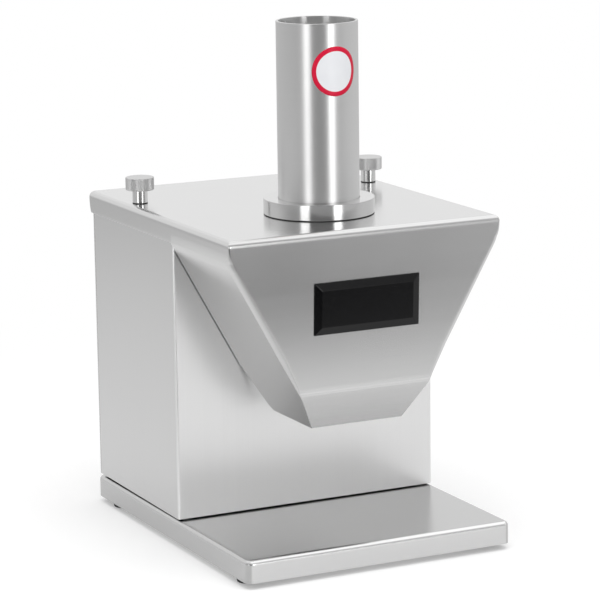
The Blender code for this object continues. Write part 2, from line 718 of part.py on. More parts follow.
def make_deck():
    """Plate that closes the case under the rotor and carries the gearbox."""
    side = INNER_HALF_WIDTH - SEAT
    outline = rectangle(-side, side, BODY_FRONT + SHEET + SEAT, CASE_BACK - SHEET - SEAT, BODY_CORNER_RADIUS)
    deck = prism("deck", outline, "Z", DECK_BOTTOM, DECK_TOP)
    low = DECK_BOTTOM - CUT_MARGIN
    high = DECK_TOP + CUT_MARGIN
    drill(deck, SEAL_RADIUS + SEAT, (0.0, ROTOR_Y), "Z", low, high, ROUND_STEPS)
    for x in (-POST_SIDE, POST_SIDE):
        drill(deck, POST_STUD_RADIUS + SEAT, (x, POST_Y), "Z", low, high)
    for x, y in gearbox_screw_places():
        drill(deck, GEARBOX_SCREW_RADIUS + SEAT, (x, y), "Z", low, high)
    return finished(deck, "blade_deck", "brushed_steel")


def make_cover_posts():
    """Posts that hold the hood up and take its thumb nuts."""
    for side, x in (("left", -POST_SIDE), ("right", POST_SIDE)):
        post = rod("post", [
            (POST_STUD_RADIUS, DECK_BOTTOM - POST_TAIL, DECK_TOP + SEAT),
            (POST_RADIUS, DECK_TOP + SEAT, COVER_SEAT),
            (POST_STUD_RADIUS, COVER_SEAT, COVER_TOP + POST_STUD_RISE),
        ], SMALL_STEPS)
        finished(set_on_axis(post, (x, POST_Y, 0.0)), "cover_post_" + side, "polished_steel")


def make_shaft_seal():
    """Lip seal between the deck and the output shaft."""
    seal = ring("seal", SHAFT_RADIUS + SEAT, SEAL_RADIUS, DECK_BOTTOM, DECK_TOP + SEAL_PROUD)
    return finished(set_on_axis(seal, (0.0, ROTOR_Y, 0.0)), "shaft_seal", "black_rubber")


def gearbox_bounds():
    """Low and high x and y of the gearbox's outside, around its gears and the motor."""
    output_reach = GEAR_MODULE * OUTPUT_GEAR_TEETH / 2 + ADDENDUM
    lay_reach = GEAR_MODULE * LAYSHAFT_GEAR_TEETH / 2 + ADDENDUM
    margin = GEAR_AIR + GEARBOX_WALL
    half = max(LAY_X + lay_reach + margin, output_reach + margin)
    front = ROTOR_Y - output_reach - GEAR_AIR / 2 - GEARBOX_WALL
    back = MOTOR_Y + MOTOR_RADIUS
    return -half, half, front, back


def gearbox_screw_places():
    """Centres of the screws through the deck into the gearbox walls."""
    left, right, front, back = gearbox_bounds()
    inset = GEARBOX_SCREW_INSET
    return [
        (left + inset, front + inset), (right - inset, front + inset),
        (left + inset, back - inset), (right - inset, back - inset),
    ]


def make_gearbox_case():
    """Cast box with corner pillars, open above, bored for its shafts."""
    left, right, front, back = gearbox_bounds()
    wall = GEARBOX_WALL
    top = LID_BOTTOM - SEAT
    outside = rectangle(left, right, front, back, GEARBOX_CORNER_RADIUS)
    inside = rectangle(left + wall, right - wall, front + wall, back - wall, wall)
    box = prism("box", outside, "Z", GEARBOX_BOTTOM, top)
    room = prism("room", inside, "Z", GEARBOX_INSIDE, top + CUT_MARGIN)
    pillar_radius = GEARBOX_SCREW_INSET
    for x, y in gearbox_screw_places():
        pillar = prism("pillar", circle(pillar_radius, (x, y), SMALL_STEPS), "Z", 0.0, top + 2 * CUT_MARGIN)
        cut(room, pillar)
    cut(box, room)
    for x, y in gearbox_screw_places():
        low = top - GEARBOX_SCREW_LENGTH
        drill(box, GEARBOX_SCREW_RADIUS + SEAT, (x, y), "Z", low, top + CUT_MARGIN)
    pocket = GEARBOX_BOTTOM + POCKET_FLOOR
    above = GEARBOX_INSIDE + GEAR_AIR / 2
    drill(box, BEARING_RADIUS + SEAT, (0.0, ROTOR_Y), "Z", pocket, above, ROUND_STEPS)
    drill(box, LAYSHAFT_RADIUS + SEAT, (LAY_X, LAY_Y), "Z", pocket, above)
    low = GEARBOX_BOTTOM - CUT_MARGIN
    drill(box, MOTOR_SHAFT_RADIUS + SEAT, (0.0, MOTOR_Y), "Z", low, above)
    return finished(box, "gearbox_case", "cast_alloy")


def make_gearbox_lid():
    """Lid bolted up against the deck, with the upper bearing seats."""
    left, right, front, back = gearbox_bounds()
    lid = prism("lid", rectangle(left, right, front, back, GEARBOX_CORNER_RADIUS), "Z", LID_BOTTOM, LID_TOP)
    low = LID_BOTTOM - CUT_MARGIN
    high = LID_TOP + CUT_MARGIN
    drill(lid, BEARING_RADIUS + SEAT, (0.0, ROTOR_Y), "Z", low, high, ROUND_STEPS)
    drill(lid, LAYSHAFT_RADIUS + SEAT, (LAY_X, LAY_Y), "Z", low, LID_TOP - POCKET_FLOOR)
    for x, y in gearbox_screw_places():
        drill(lid, GEARBOX_SCREW_RADIUS + SEAT, (x, y), "Z", low, high)
    return finished(lid, "gearbox_lid", "cast_alloy")


def make_gearbox_screws():
    """Screws from the top of the deck."""
    names = ["front_left", "front_right", "rear_left", "rear_right"]
    for corner, (x, y) in zip(names, gearbox_screw_places()):
        screw = screw_shape(
            "screw", GEARBOX_SCREW_HEAD_RADIUS, GEARBOX_SCREW_HEAD,
            GEARBOX_SCREW_RADIUS, GEARBOX_SCREW_LENGTH,
        )
        finished(set_on_axis(screw, (x, y, DECK_TOP + SEAT)), "gearbox_screw_" + corner, "zinc_plate")


def make_output_bearings():
    """Bearings of the output shaft, in the lid and in the gearbox floor."""
    inner = SHAFT_RADIUS + SEAT
    low = GEARBOX_BOTTOM + POCKET_FLOOR + SEAT
    lower = ring("bearing", inner, BEARING_RADIUS, low, low + BEARING_WIDTH)
    finished(set_on_axis(lower, (0.0, ROTOR_Y, 0.0)), "output_bearing_lower", "gear_steel")
    high = LID_TOP - SEAT
    upper = ring("bearing", inner, BEARING_RADIUS, high - BEARING_WIDTH, high)
    finished(set_on_axis(upper, (0.0, ROTOR_Y, 0.0)), "output_bearing_upper", "gear_steel")


def gear_outline(teeth, phase):
    """Straight-flanked teeth; one tooth is centred on the phase angle."""
    pitch_radius = GEAR_MODULE * teeth / 2
    tip = pitch_radius + ADDENDUM
    root = pitch_radius - DEDENDUM
    step = math.tau / teeth
    points = []
    for index in range(teeth):
        middle = phase + step * index
        for radius, share in (
            (root, -TOOTH_ROOT_SHARE), (tip, -TOOTH_TIP_SHARE),
            (tip, TOOTH_TIP_SHARE), (root, TOOTH_ROOT_SHARE),
        ):
            turn = middle + share * step
            points.append((radius * math.cos(turn), radius * math.sin(turn)))
    return points


def gear(name, teeth, phase, low, high, bore=0.0):
    """A spur gear about its own axis."""
    made = prism(name, gear_outline(teeth, phase), "Z", low, high)
    if bore > 0.0:
        drill(made, bore, (0.0, 0.0), "Z", low - CUT_MARGIN, high + CUT_MARGIN)
    return made


def make_output_train(carrier):
    """Output shaft with its gear; the shaft's nose carries the hub and the blade."""
    place = (0.0, ROTOR_Y, 0.0)
    shoulder = BLADE_BOTTOM - SEAT - SHAFT_NOSE
    shaft = rod("shaft", [
        (SHAFT_RADIUS, GEARBOX_BOTTOM + POCKET_FLOOR + 2 * SEAT, shoulder),
        (SHAFT_NOSE_RADIUS, shoulder, BLADE_TOP - SEAT),
        (SHAFT_THREAD_RADIUS, BLADE_TOP - SEAT, BLADE_TOP + SEAT + BLADE_NUT_HEIGHT + SHAFT_PROUD),
    ])
    finished(set_on_axis(shaft, place), "output_shaft", "polished_steel", carrier)
    toward_lay = math.atan2(LAY_Y - ROTOR_Y, LAY_X)
    wheel = gear(
        "gear", OUTPUT_GEAR_TEETH, toward_lay, UPPER_GEAR_BOTTOM, UPPER_GEAR_TOP, SHAFT_RADIUS + SEAT,
    )
    finished(set_on_axis(wheel, place), "output_gear", "gear_steel", carrier)


def make_blade_hub(carrier):
    """Hub that seats on the shaft's shoulder and lifts the blade clear of the deck."""
    low = DECK_TOP + HUB_CLEARANCE
    top = BLADE_BOTTOM - SEAT
    shoulder = top - SHAFT_NOSE
    bore = SHAFT_RADIUS + SEAT
    nose = SHAFT_NOSE_RADIUS + SEAT
    section = [
        (bore, low), (HUB_NECK_RADIUS, low), (HUB_NECK_RADIUS, top - HUB_FLANGE),
        (HUB_RADIUS, top - HUB_FLANGE), (HUB_RADIUS, top), (nose, top),
        (nose, shoulder + SEAT), (bore, shoulder + SEAT),
    ]
    hub = turned("hub", section, closed=True)
    return finished(set_on_axis(hub, (0.0, ROTOR_Y, 0.0)), "blade_hub", "polished_steel", carrier)


def blade_arm_outline(phase):
    """One sickle arm: its edge sweeps back as it nears the tip."""
    leading = []
    trailing = []
    start = HUB_RADIUS - BLADE_THICKNESS
    for step in range(BLADE_STEPS + 1):
        share = step / BLADE_STEPS
        radius = start + (BLADE_RADIUS - start) * share
        width = BLADE_ROOT_WIDTH + (BLADE_TIP_WIDTH - BLADE_ROOT_WIDTH) * share
        middle = phase + BLADE_SWEEP * (share - 1) * share
        half = width / (2 * radius)
        leading.append((radius * math.cos(middle - half), radius * math.sin(middle - half)))
        trailing.append((radius * math.cos(middle + half), radius * math.sin(middle + half)))
    return leading + trailing[::-1]


def make_blade(carrier):
    """Flat blade with sickle arms around a clamping disc."""
    blade = prism("blade", circle(HUB_RADIUS), "Z", BLADE_BOTTOM, BLADE_TOP)
    for index in range(BLADE_ARMS):
        outline = blade_arm_outline(math.tau * index / BLADE_ARMS)
        join(blade, prism("arm", outline, "Z", BLADE_BOTTOM, BLADE_TOP))
    low = BLADE_BOTTOM - CUT_MARGIN
    drill(blade, SHAFT_NOSE_RADIUS + SEAT, (0.0, 0.0), "Z", low, BLADE_TOP + CUT_MARGIN)
    return finished(set_on_axis(blade, (0.0, ROTOR_Y, 0.0)), "cutting_blade", "blade_steel", carrier)


def make_blade_nut(carrier):
    """Hexagon nut that clamps the blade."""
    low = BLADE_TOP + SEAT
    high = low + BLADE_NUT_HEIGHT
    corner = BLADE_NUT_ACROSS / math.sqrt(3)
    nut = prism("nut", circle(corner, steps=HEX_SIDES), "Z", low, high)
    drill(nut, SHAFT_THREAD_RADIUS + SEAT, (0.0, 0.0), "Z", low - CUT_MARGIN, high + CUT_MARGIN)
    return finished(set_on_axis(nut, (0.0, ROTOR_Y, 0.0)), "blade_nut", "polished_steel", carrier)


def make_layshaft(carrier):
    """Layshaft with its own small pinion, and the large gear pressed on it."""
    place = (LAY_X, LAY_Y, 0.0)
    toward_rotor = math.atan2(ROTOR_Y - LAY_Y, -LAY_X)
    half_tooth = math.pi / LAYSHAFT_PINION_TEETH
    low = GEARBOX_BOTTOM + POCKET_FLOOR + SEAT
    high = LID_TOP - POCKET_FLOOR - SEAT
    shaft = rod("shaft", [(LAYSHAFT_RADIUS, low, high)], SMALL_STEPS)
    pinion = gear(
        "pinion", LAYSHAFT_PINION_TEETH, toward_rotor + half_tooth, UPPER_GEAR_BOTTOM, UPPER_GEAR_TOP,
    )
    join(shaft, pinion)
    finished(set_on_axis(shaft, place), "layshaft", "gear_steel", carrier)
    toward_motor = math.atan2(MOTOR_Y - LAY_Y, -LAY_X)
    wheel = gear(
        "gear", LAYSHAFT_GEAR_TEETH, toward_motor, LOWER_GEAR_BOTTOM, LOWER_GEAR_TOP,
        LAYSHAFT_RADIUS + SEAT,
    )
    finished(set_on_axis(wheel, place), "layshaft_gear", "gear_steel", carrier)


def make_motor_rotor(carrier):
    """Motor shaft with a cut pinion, the rotor core and the cooling fan."""
    place = (0.0, MOTOR_Y, 0.0)
    toward_lay = math.atan2(LAY_Y - MOTOR_Y, LAY_X)
    half_tooth = math.pi / MOTOR_PINION_TEETH
    low = MOTOR_BOTTOM + POCKET_FLOOR + SEAT
    shaft = rod("shaft", [(MOTOR_SHAFT_RADIUS, low, LOWER_GEAR_TOP + GEAR_AIR)], SMALL_STEPS)
    pinion = gear("pinion", MOTOR_PINION_TEETH, toward_lay + half_tooth, LOWER_GEAR_BOTTOM, LOWER_GEAR_TOP)
    join(shaft, pinion)
    finished(set_on_axis(shaft, place), "motor_shaft", "gear_steel", carrier)
    bore = MOTOR_SHAFT_RADIUS + SEAT
    core = ring("core", bore, MOTOR_CORE_RADIUS, CORE_BOTTOM, CORE_TOP)
    finished(set_on_axis(core, place), "motor_rotor_core", "core_steel", carrier)
    fan_low = MOTOR_BOTTOM + MOTOR_CAP + FAN_RISE
    fan_high = fan_low + FAN_HEIGHT
    fan = prism("fan", circle(FAN_HUB_RADIUS, steps=SMALL_STEPS), "Z", fan_low, fan_high)
    half = FAN_BLADE_WIDTH / 2
    for index in range(FAN_BLADE_COUNT):
        outline = rectangle(FAN_HUB_RADIUS / 2, FAN_RADIUS, -half, half)
        vane = prism("vane", outline, "Z", fan_low + SEAT, fan_high - SEAT)
        vane.data.transform(Matrix.Rotation(math.tau * index / FAN_BLADE_COUNT, 4, "Z"))
        join(fan, vane)
    drill(fan, bore, (0.0, 0.0), "Z", fan_low - CUT_MARGIN, fan_high + CUT_MARGIN)
    finished(set_on_axis(fan, place), "motor_fan", "black_plastic", carrier)


def make_motor_housing():
    """Motor can under the gearbox, its end cap and the stator inside it."""
    place = (0.0, MOTOR_Y, 0.0)
    clear = MOTOR_SHAFT_RADIUS + SEAT
    inner = MOTOR_RADIUS - MOTOR_WALL
    cap_top = MOTOR_BOTTOM + MOTOR_CAP
    section = [
        (inner, cap_top + SEAT), (MOTOR_RADIUS, cap_top + SEAT), (MOTOR_RADIUS, MOTOR_TOP),
        (clear, MOTOR_TOP), (clear, MOTOR_TOP - MOTOR_WALL), (inner, MOTOR_TOP - MOTOR_WALL),
    ]
    finished(set_on_axis(turned("can", section, closed=True), place), "motor_can", "grey_paint")
    profile = [
        (0.0, MOTOR_BOTTOM), (MOTOR_RADIUS, MOTOR_BOTTOM), (MOTOR_RADIUS, cap_top),
        (clear, cap_top), (clear, MOTOR_BOTTOM + POCKET_FLOOR), (0.0, MOTOR_BOTTOM + POCKET_FLOOR),
    ]
    finished(set_on_axis(turned("cap", profile), place), "motor_end_cap", "cast_alloy")
    stator = ring("stator", MOTOR_CORE_RADIUS + MOTOR_AIR_GAP, inner - SEAT, CORE_BOTTOM, CORE_TOP)
    finished(set_on_axis(stator, place), "motor_stator", "winding_copper")


def make_capacitor():
    """Run capacitor under the deck."""
    high = DECK_BOTTOM - SEAT
    can = rod("can", [(CAPACITOR_RADIUS, high - CAPACITOR_LENGTH, high)], SMALL_STEPS)
    reach = CAPACITOR_RADIUS + CAPACITOR_WALL_GAP
    place = (-INNER_HALF_WIDTH + reach, CASE_BACK - SHEET - reach, 0.0)
    return finished(set_on_axis(can, place), "run_capacitor", "white_plastic")


def make_hood_sensor(hood):
    """Reed sensor on the deck and its magnet under the cover, so no hood means no motion."""
    half = SENSOR_SIZE / 2
    x = -INNER_HALF_WIDTH + SENSOR_SIDE_INSET
    y = BODY_BACK - SENSOR_REAR_INSET
    outline = rectangle(x - half, x + half, y - half, y + half)
    low = DECK_TOP + SEAT
    sensor = prism("sensor", outline, "Z", low, low + SENSOR_RISE)
    finished(sensor, "hood_sensor", "black_plastic")
    magnet = prism("magnet", outline, "Z", low + SENSOR_RISE + SENSOR_GAP, COVER_UNDER - SEAT)
    finished(magnet, "sensor_magnet", "black_plastic", hood)


def make_inlet():
    """Mains inlet with its cavity, and the block of three pins inside it."""
    x = -INLET_SIDE
    z = BODY_BOTTOM + INLET_RISE
    half_width = INLET_BODY_WIDTH / 2
    half_height = INLET_BODY_HEIGHT / 2
    flange_low = BODY_BACK + SEAT
    face = flange_low + INLET_FLANGE
    body_low = face - INLET_BODY_DEPTH - INLET_FLANGE
    wide = INLET_FLANGE_WIDTH / 2
    tall = INLET_FLANGE_HEIGHT / 2
    inlet = prism("inlet", rectangle(x - wide, x + wide, z - tall, z + tall, SHEET), "Y", flange_low, face)
    shell = rectangle(x - half_width, x + half_width, z - half_height, z + half_height)
    join(inlet, prism("shell", shell, "Y", body_low, face - INLET_FLANGE / 2))
    cavity_width = half_width - INLET_WALL
    cavity_height = half_height - INLET_WALL
    cavity_low = face - INLET_CAVITY_DEPTH
    notch = cavity_height / 2
    cavity = rounded([
        (x - cavity_width, z - cavity_height, 0),
        (x + cavity_width, z - cavity_height, 0),
        (x + cavity_width, z + cavity_height - notch, 0),
        (x + cavity_width - notch, z + cavity_height, 0),
        (x - cavity_width + notch, z + cavity_height, 0),
        (x - cavity_width, z + cavity_height - notch, 0),
    ])
    cut(inlet, prism("cavity", cavity, "Y", cavity_low, face + CUT_MARGIN))
    finished(inlet, "mains_inlet", "black_plastic")
    block_low = cavity_low + SEAT
    block_high = block_low + PIN_BLOCK_DEPTH
    block_wide = PIN_SPACING + PIN_WIDTH
    block_tall = PIN_HEIGHT
    plate = rectangle(x - block_wide, x + block_wide, z - block_tall, z + block_tall)
    block = prism("block", plate, "Y", block_low, block_high)
    for side, rise in ((-PIN_SPACING, -PIN_OFFSET), (0.0, PIN_OFFSET), (PIN_SPACING, -PIN_OFFSET)):
        pin = rectangle(
            x + side - PIN_WIDTH / 2, x + side + PIN_WIDTH / 2,
            z + rise - PIN_HEIGHT / 2 + SEAT, z + rise + PIN_HEIGHT / 2 - SEAT,
        )
        join(block, prism("pin", pin, "Y", block_low + PIN_BLOCK_DEPTH / 2, block_high + PIN_LENGTH))
    finished(block, "inlet_pin_block", "brass")


def make_switch():
    """Rocker switch: a housing with a cavity, and the rocker on its pivot axis."""
    x = SWITCH_SIDE
    z = BODY_BOTTOM + SWITCH_RISE
    flange_low = BODY_BACK + SEAT
    face = flange_low + SWITCH_FLANGE
    wide = SWITCH_FLANGE_WIDTH / 2
    tall = SWITCH_FLANGE_HEIGHT / 2
    half_width = SWITCH_BODY_WIDTH / 2
    half_height = SWITCH_BODY_HEIGHT / 2
    housing = prism("switch", rectangle(x - wide, x + wide, z - tall, z + tall, SHEET), "Y", flange_low, face)
    shell = rectangle(x - half_width, x + half_width, z - half_height, z + half_height)
    join(housing, prism("shell", shell, "Y", face - SWITCH_BODY_DEPTH, face - SWITCH_FLANGE / 2))
    room_wide = ROCKER_WIDTH / 2 + ROCKER_SIDE_GAP
    room_tall = ROCKER_HALF_LENGTH + ROCKER_SWING_GAP
    room = rectangle(x - room_wide, x + room_wide, z - room_tall, z + room_tall)
    cut(housing, prism("room", room, "Y", face - SWITCH_CAVITY_DEPTH, face + CUT_MARGIN))
    finished(housing, "switch_housing", "black_plastic")
    pivot = carrier_at("rocker_axis", (x, face - ROCKER_PROUD, z))
    crest = ROCKER_PROUD + ROCKER_DISH
    belly = []
    for step in range(ARC_STEPS + 1):
        turn = math.pi * step / ARC_STEPS
        belly.append((-ROCKER_BELLY * math.sin(turn), ROCKER_BELLY * math.cos(turn)))
    outline = [(0.0, ROCKER_HALF_LENGTH), (crest, ROCKER_HALF_LENGTH - ROCKER_SWING_GAP)]
    outline.append((ROCKER_PROUD, 0.0))
    outline.extend([(crest, -ROCKER_HALF_LENGTH + ROCKER_SWING_GAP), (0.0, -ROCKER_HALF_LENGTH)])
    outline.extend(reversed(belly))
    rocker = prism("rocker", outline, "X", -ROCKER_WIDTH / 2, ROCKER_WIDTH / 2)
    rocker.data.transform(Matrix.Rotation(-ROCKER_TILT, 4, "X"))
    set_on_axis(rocker, pivot.location)
    finished(rocker, "switch_rocker", "black_plastic", pivot)


def hood_side_profile(inset):
    """Section of the hood along the machine, as (y, z); the inset makes its inside."""
    top = COVER_TOP - inset
    bend = max(BEND_RADIUS - inset, BEND_RADIUS / 4)
    bend_z = COVER_TOP - FRONT_BEND_DROP
    outlet = COVER_TOP - OUTLET_DROP
    front_shift = inset / math.cos(FRONT_LEAN)
    lower_shift = inset / math.cos(LOWER_LEAN)
    front_slope = math.tan(FRONT_LEAN)
    lower_slope = math.tan(LOWER_LEAN)
    bend_y = COVER_FRONT + FRONT_BEND_DROP * front_slope
    drop = (lower_shift - front_shift) / (lower_slope - front_slope)
    knee = (bend_y + front_shift - drop * front_slope, bend_z + drop)
    front_top = knee[0] - (top - knee[1]) * front_slope
    foot = knee[0] + (knee[1] - outlet) * lower_slope
    return front_top, knee, foot, outlet, top, bend


def hood_width_at(z, inset):
    """Half width of the slanted chute at one height."""
    fold = COVER_WIDTH / 2 - inset / math.cos(SIDE_SLANT)
    return fold - (SKIRT_BOTTOM - z) * math.tan(SIDE_SLANT)


def make_hood_shell(hood):
    """Cover with a skirt that folds on into the slanted chute."""
    rear = BODY_FRONT - SEAT
    front_top, knee, foot, outlet, top, bend = hood_side_profile(0.0)
    side_outline = rounded([
        (front_top, top, bend), (COVER_BACK, top, bend), (COVER_BACK, SKIRT_BOTTOM, 0),
        (rear, SKIRT_BOTTOM, 0), (rear, outlet + REAR_CUT_RISE, 0),
        (rear - REAR_CUT_DEPTH, outlet, BEND_RADIUS), (foot, outlet, 0),
        (knee[0], knee[1], BEND_RADIUS),
    ])
    half = COVER_WIDTH / 2
    narrow = hood_width_at(outlet, 0.0)
    front_outline = rounded([
        (-half, top, bend), (-half, SKIRT_BOTTOM, SOFT_FOLD_RADIUS), (-narrow, outlet, 0),
        (narrow, outlet, 0), (half, SKIRT_BOTTOM, SOFT_FOLD_RADIUS), (half, top, bend),
    ])
    below = outlet - CUT_MARGIN
    front_in, knee_in, foot_in, _, top_in, bend_in = hood_side_profile(SHEET)
    chute_rear = rear + CUT_MARGIN
    side_inside = rounded([
        (front_in, top_in, bend_in), (chute_rear, top_in, 0), (chute_rear, below, 0),
        (foot_in + CUT_MARGIN * math.tan(LOWER_LEAN), below, 0), (knee_in[0], knee_in[1], BEND_RADIUS),
    ])
    half_in = half - SHEET
    narrow_in = hood_width_at(below, SHEET)
    fold_in = SOFT_FOLD_RADIUS + SHEET
    front_inside = rounded([
        (-half_in, top_in, bend_in), (-half_in, SKIRT_BOTTOM, fold_in), (-narrow_in, below, 0),
        (narrow_in, below, 0), (half_in, SKIRT_BOTTOM, fold_in), (half_in, top_in, bend_in),
    ])
    cover_inside = rounded([
        (-half_in, SKIRT_BOTTOM - CUT_MARGIN, 0), (half_in, SKIRT_BOTTOM - CUT_MARGIN, 0),
        (half_in, top_in, bend_in), (-half_in, top_in, bend_in),
    ])
    back_in = COVER_BACK - SHEET
    cover_side_inside = rounded([
        (rear, SKIRT_BOTTOM - CUT_MARGIN, 0), (back_in, SKIRT_BOTTOM - CUT_MARGIN, 0),
        (back_in, top_in, bend_in), (rear, top_in, 0),
    ])
    wide = COVER_WIDTH
    front = COVER_FRONT - CUT_MARGIN
    shell = prism("hood", side_outline, "X", -wide, wide)
    # The slanted sides stop at the case; behind it only the straight skirt is left
    shaping = prism("shaping", front_outline, "Y", front, rear + CUT_MARGIN)
    straight = rounded([
        (-half, SKIRT_BOTTOM, 0), (half, SKIRT_BOTTOM, 0), (half, top, bend), (-half, top, bend),
    ])
    join(shaping, prism("straight", straight, "Y", rear, COVER_BACK + CUT_MARGIN))
    shared(shell, shaping)
    chute = prism("chute", side_inside, "X", -wide, wide)
    shared(chute, prism("chute_width", front_inside, "Y", front, chute_rear))
    cut(shell, chute)
    room = prism("room", cover_inside, "Y", rear, COVER_BACK)
    shared(room, prism("room_depth", cover_side_inside, "X", -wide, wide))
    cut(shell, room)
    low = COVER_UNDER - CUT_MARGIN
    high = COVER_TOP + CUT_MARGIN
    drill(shell, TUBE_RADIUS + SEAT, (0.0, TUBE_Y), "Z", low, high, ROUND_STEPS)
    for x in (-POST_SIDE, POST_SIDE):
        drill(shell, POST_STUD_RADIUS + SEAT, (x, POST_Y), "Z", low, high)
    for x, y in ring_screw_places():
        drill(shell, RING_SCREW_RADIUS + SEAT, (x, y), "Z", low, high)
    return finished(shell, "hood_shell", "brushed_steel", hood)


def make_feed_tube(hood):
    """Seamless tube that the sausage goes down."""
    edge = TUBE_WALL / 4
    inner = TUBE_RADIUS - TUBE_WALL
    top = COVER_TOP + TUBE_RISE
    section = [
        (inner, TUBE_END), (TUBE_RADIUS, TUBE_END), (TUBE_RADIUS, top - edge),
        (TUBE_RADIUS - edge, top), (inner + edge, top), (inner, top - edge),
    ]
    tube = turned("tube", section, closed=True)
    return finished(set_on_axis(tube, (0.0, TUBE_Y, 0.0)), "feed_tube", "brushed_steel", hood)


def ring_screw_places():
    """Centres of the screws that hold the flange ring from below."""
    places = []
    for index in range(RING_SCREW_COUNT):
        turn = math.pi / 2 + math.tau * index / RING_SCREW_COUNT
        x = RING_SCREW_CIRCLE * math.cos(turn)
        places.append((x, TUBE_Y + RING_SCREW_CIRCLE * math.sin(turn)))
    return places


def make_tube_flange(hood):
    """Flange ring and the gasket under it, drilled for the ring screws."""
    place = (0.0, TUBE_Y)
    bore = TUBE_RADIUS + SEAT
    edge = SHEET / 3
    section = [
        (bore, RING_BOTTOM), (RING_RADIUS, RING_BOTTOM), (RING_RADIUS, RING_TOP - edge),
        (RING_RADIUS - edge, RING_TOP), (bore, RING_TOP),
    ]
    flange = turned("flange", section, closed=True)
    flange.data.transform(Matrix.Translation((*place, 0.0)))
    gasket_low = COVER_TOP + SEAT
    gasket = ring("gasket", bore, RING_RADIUS - SEAT, gasket_low, gasket_low + GASKET_THICKNESS)
    gasket.data.transform(Matrix.Translation((*place, 0.0)))
    for spot in ring_screw_places():
        high = RING_BOTTOM + RING_SCREW_GRIP + SEAT
        drill(flange, RING_SCREW_RADIUS + SEAT, spot, "Z", RING_BOTTOM - CUT_MARGIN, high)
        drill(gasket, RING_SCREW_RADIUS + SEAT, spot, "Z", gasket_low - CUT_MARGIN, high)
    finished(flange, "tube_flange", "brushed_steel", hood)
    finished(gasket, "flange_gasket", "black_rubber", hood)


def make_ring_screws(hood):
    """Screws from under the cover, up into the flange ring."""
    length = RING_BOTTOM + RING_SCREW_GRIP - (COVER_UNDER - SEAT)
    for index, (x, y) in enumerate(ring_screw_places()):
        screw = screw_shape("screw", RING_SCREW_HEAD_RADIUS, RING_SCREW_HEAD, RING_SCREW_RADIUS, length)
        screw.data.transform(Matrix.Rotation(math.pi, 4, "X"))
        set_on_axis(screw, (x, y, COVER_UNDER - SEAT))
        finished(screw, "ring_screw_%d" % (index + 1), "zinc_plate", hood)


def make_thumb_nuts(hood):
    """Knurled nuts with a turned stem, each on a thin rubber washer."""
    for side, x in (("left", -POST_SIDE), ("right", POST_SIDE)):
        place = (x, POST_Y, 0.0)
        bore = POST_STUD_RADIUS + SEAT
        bore_top = COVER_TOP + POST_STUD_RISE + SEAT
        edge = NUT_CHAMFER
        profile = [
            (0.0, bore_top), (bore, bore_top), (bore, NUT_BOTTOM), (NUT_STEM_RADIUS, NUT_BOTTOM),
            (NUT_STEM_RADIUS, NUT_HEAD_BOTTOM), (NUT_HEAD_RADIUS - edge, NUT_HEAD_BOTTOM),
            (NUT_HEAD_RADIUS, NUT_HEAD_BOTTOM + edge), (NUT_HEAD_RADIUS, NUT_TOP - edge),
            (NUT_HEAD_RADIUS - edge, NUT_TOP), (0.0, NUT_TOP),
        ]
        axis = carrier_at("thumb_nut_axis_" + side, place)
        finished(set_on_axis(turned("nut", profile), place), "thumb_nut_" + side, "satin_head", axis)
        axis.parent = hood
        axis.matrix_parent_inverse = hood.matrix_world.inverted()
        low = COVER_TOP + SEAT
        washer = ring("washer", bore, NUT_STEM_RADIUS, low, low + NUT_WASHER, SMALL_STEPS)
        finished(set_on_axis(washer, place), "nut_washer_" + side, "black_rubber", hood)


def make_name_plate(hood):
    """Plain black plate with a wide bevel, on the hood's leaning front."""
    wide = PLATE_WIDTH / 2
    tall = PLATE_HEIGHT / 2
    plate = prism("plate", rectangle(-wide, wide, -tall, tall), "Y", -PLATE_THICKNESS, 0.0)
    bm = bmesh.new()
    bm.from_mesh(plate.data)
    front = min(bm.faces, key=lambda face: face.calc_center_median().y)
    scale_x = 1 - PLATE_BEVEL / wide
    scale_z = 1 - PLATE_BEVEL / tall
    rim = PLATE_THICKNESS / 3
    inset = bmesh.ops.extrude_face_region(bm, geom=[front])
    raised = [item for item in inset["geom"] if isinstance(item, bmesh.types.BMVert)]
    bmesh.ops.delete(bm, geom=[front], context="FACES_ONLY")
    bmesh.ops.scale(bm, vec=(scale_x, 1.0, scale_z), verts=raised)
    lower = [vert for vert in bm.verts if vert.co.y < -PLATE_THICKNESS / 2 and vert not in raised]
    bmesh.ops.translate(bm, verts=lower, vec=(0.0, PLATE_THICKNESS - rim, 0.0))
    bmesh.ops.recalc_face_normals(bm, faces=bm.faces)
    bm.to_mesh(plate.data)
    bm.free()
    drop = PLATE_DROP
    y = COVER_FRONT + drop * math.tan(FRONT_LEAN) - SEAT / math.cos(FRONT_LEAN)
    plate.rotation_euler = (FRONT_LEAN, 0.0, 0.0)
    set_on_axis(plate, (0.0, y, COVER_TOP - drop))
    return finished(plate, "name_plate", "black_gloss", hood)


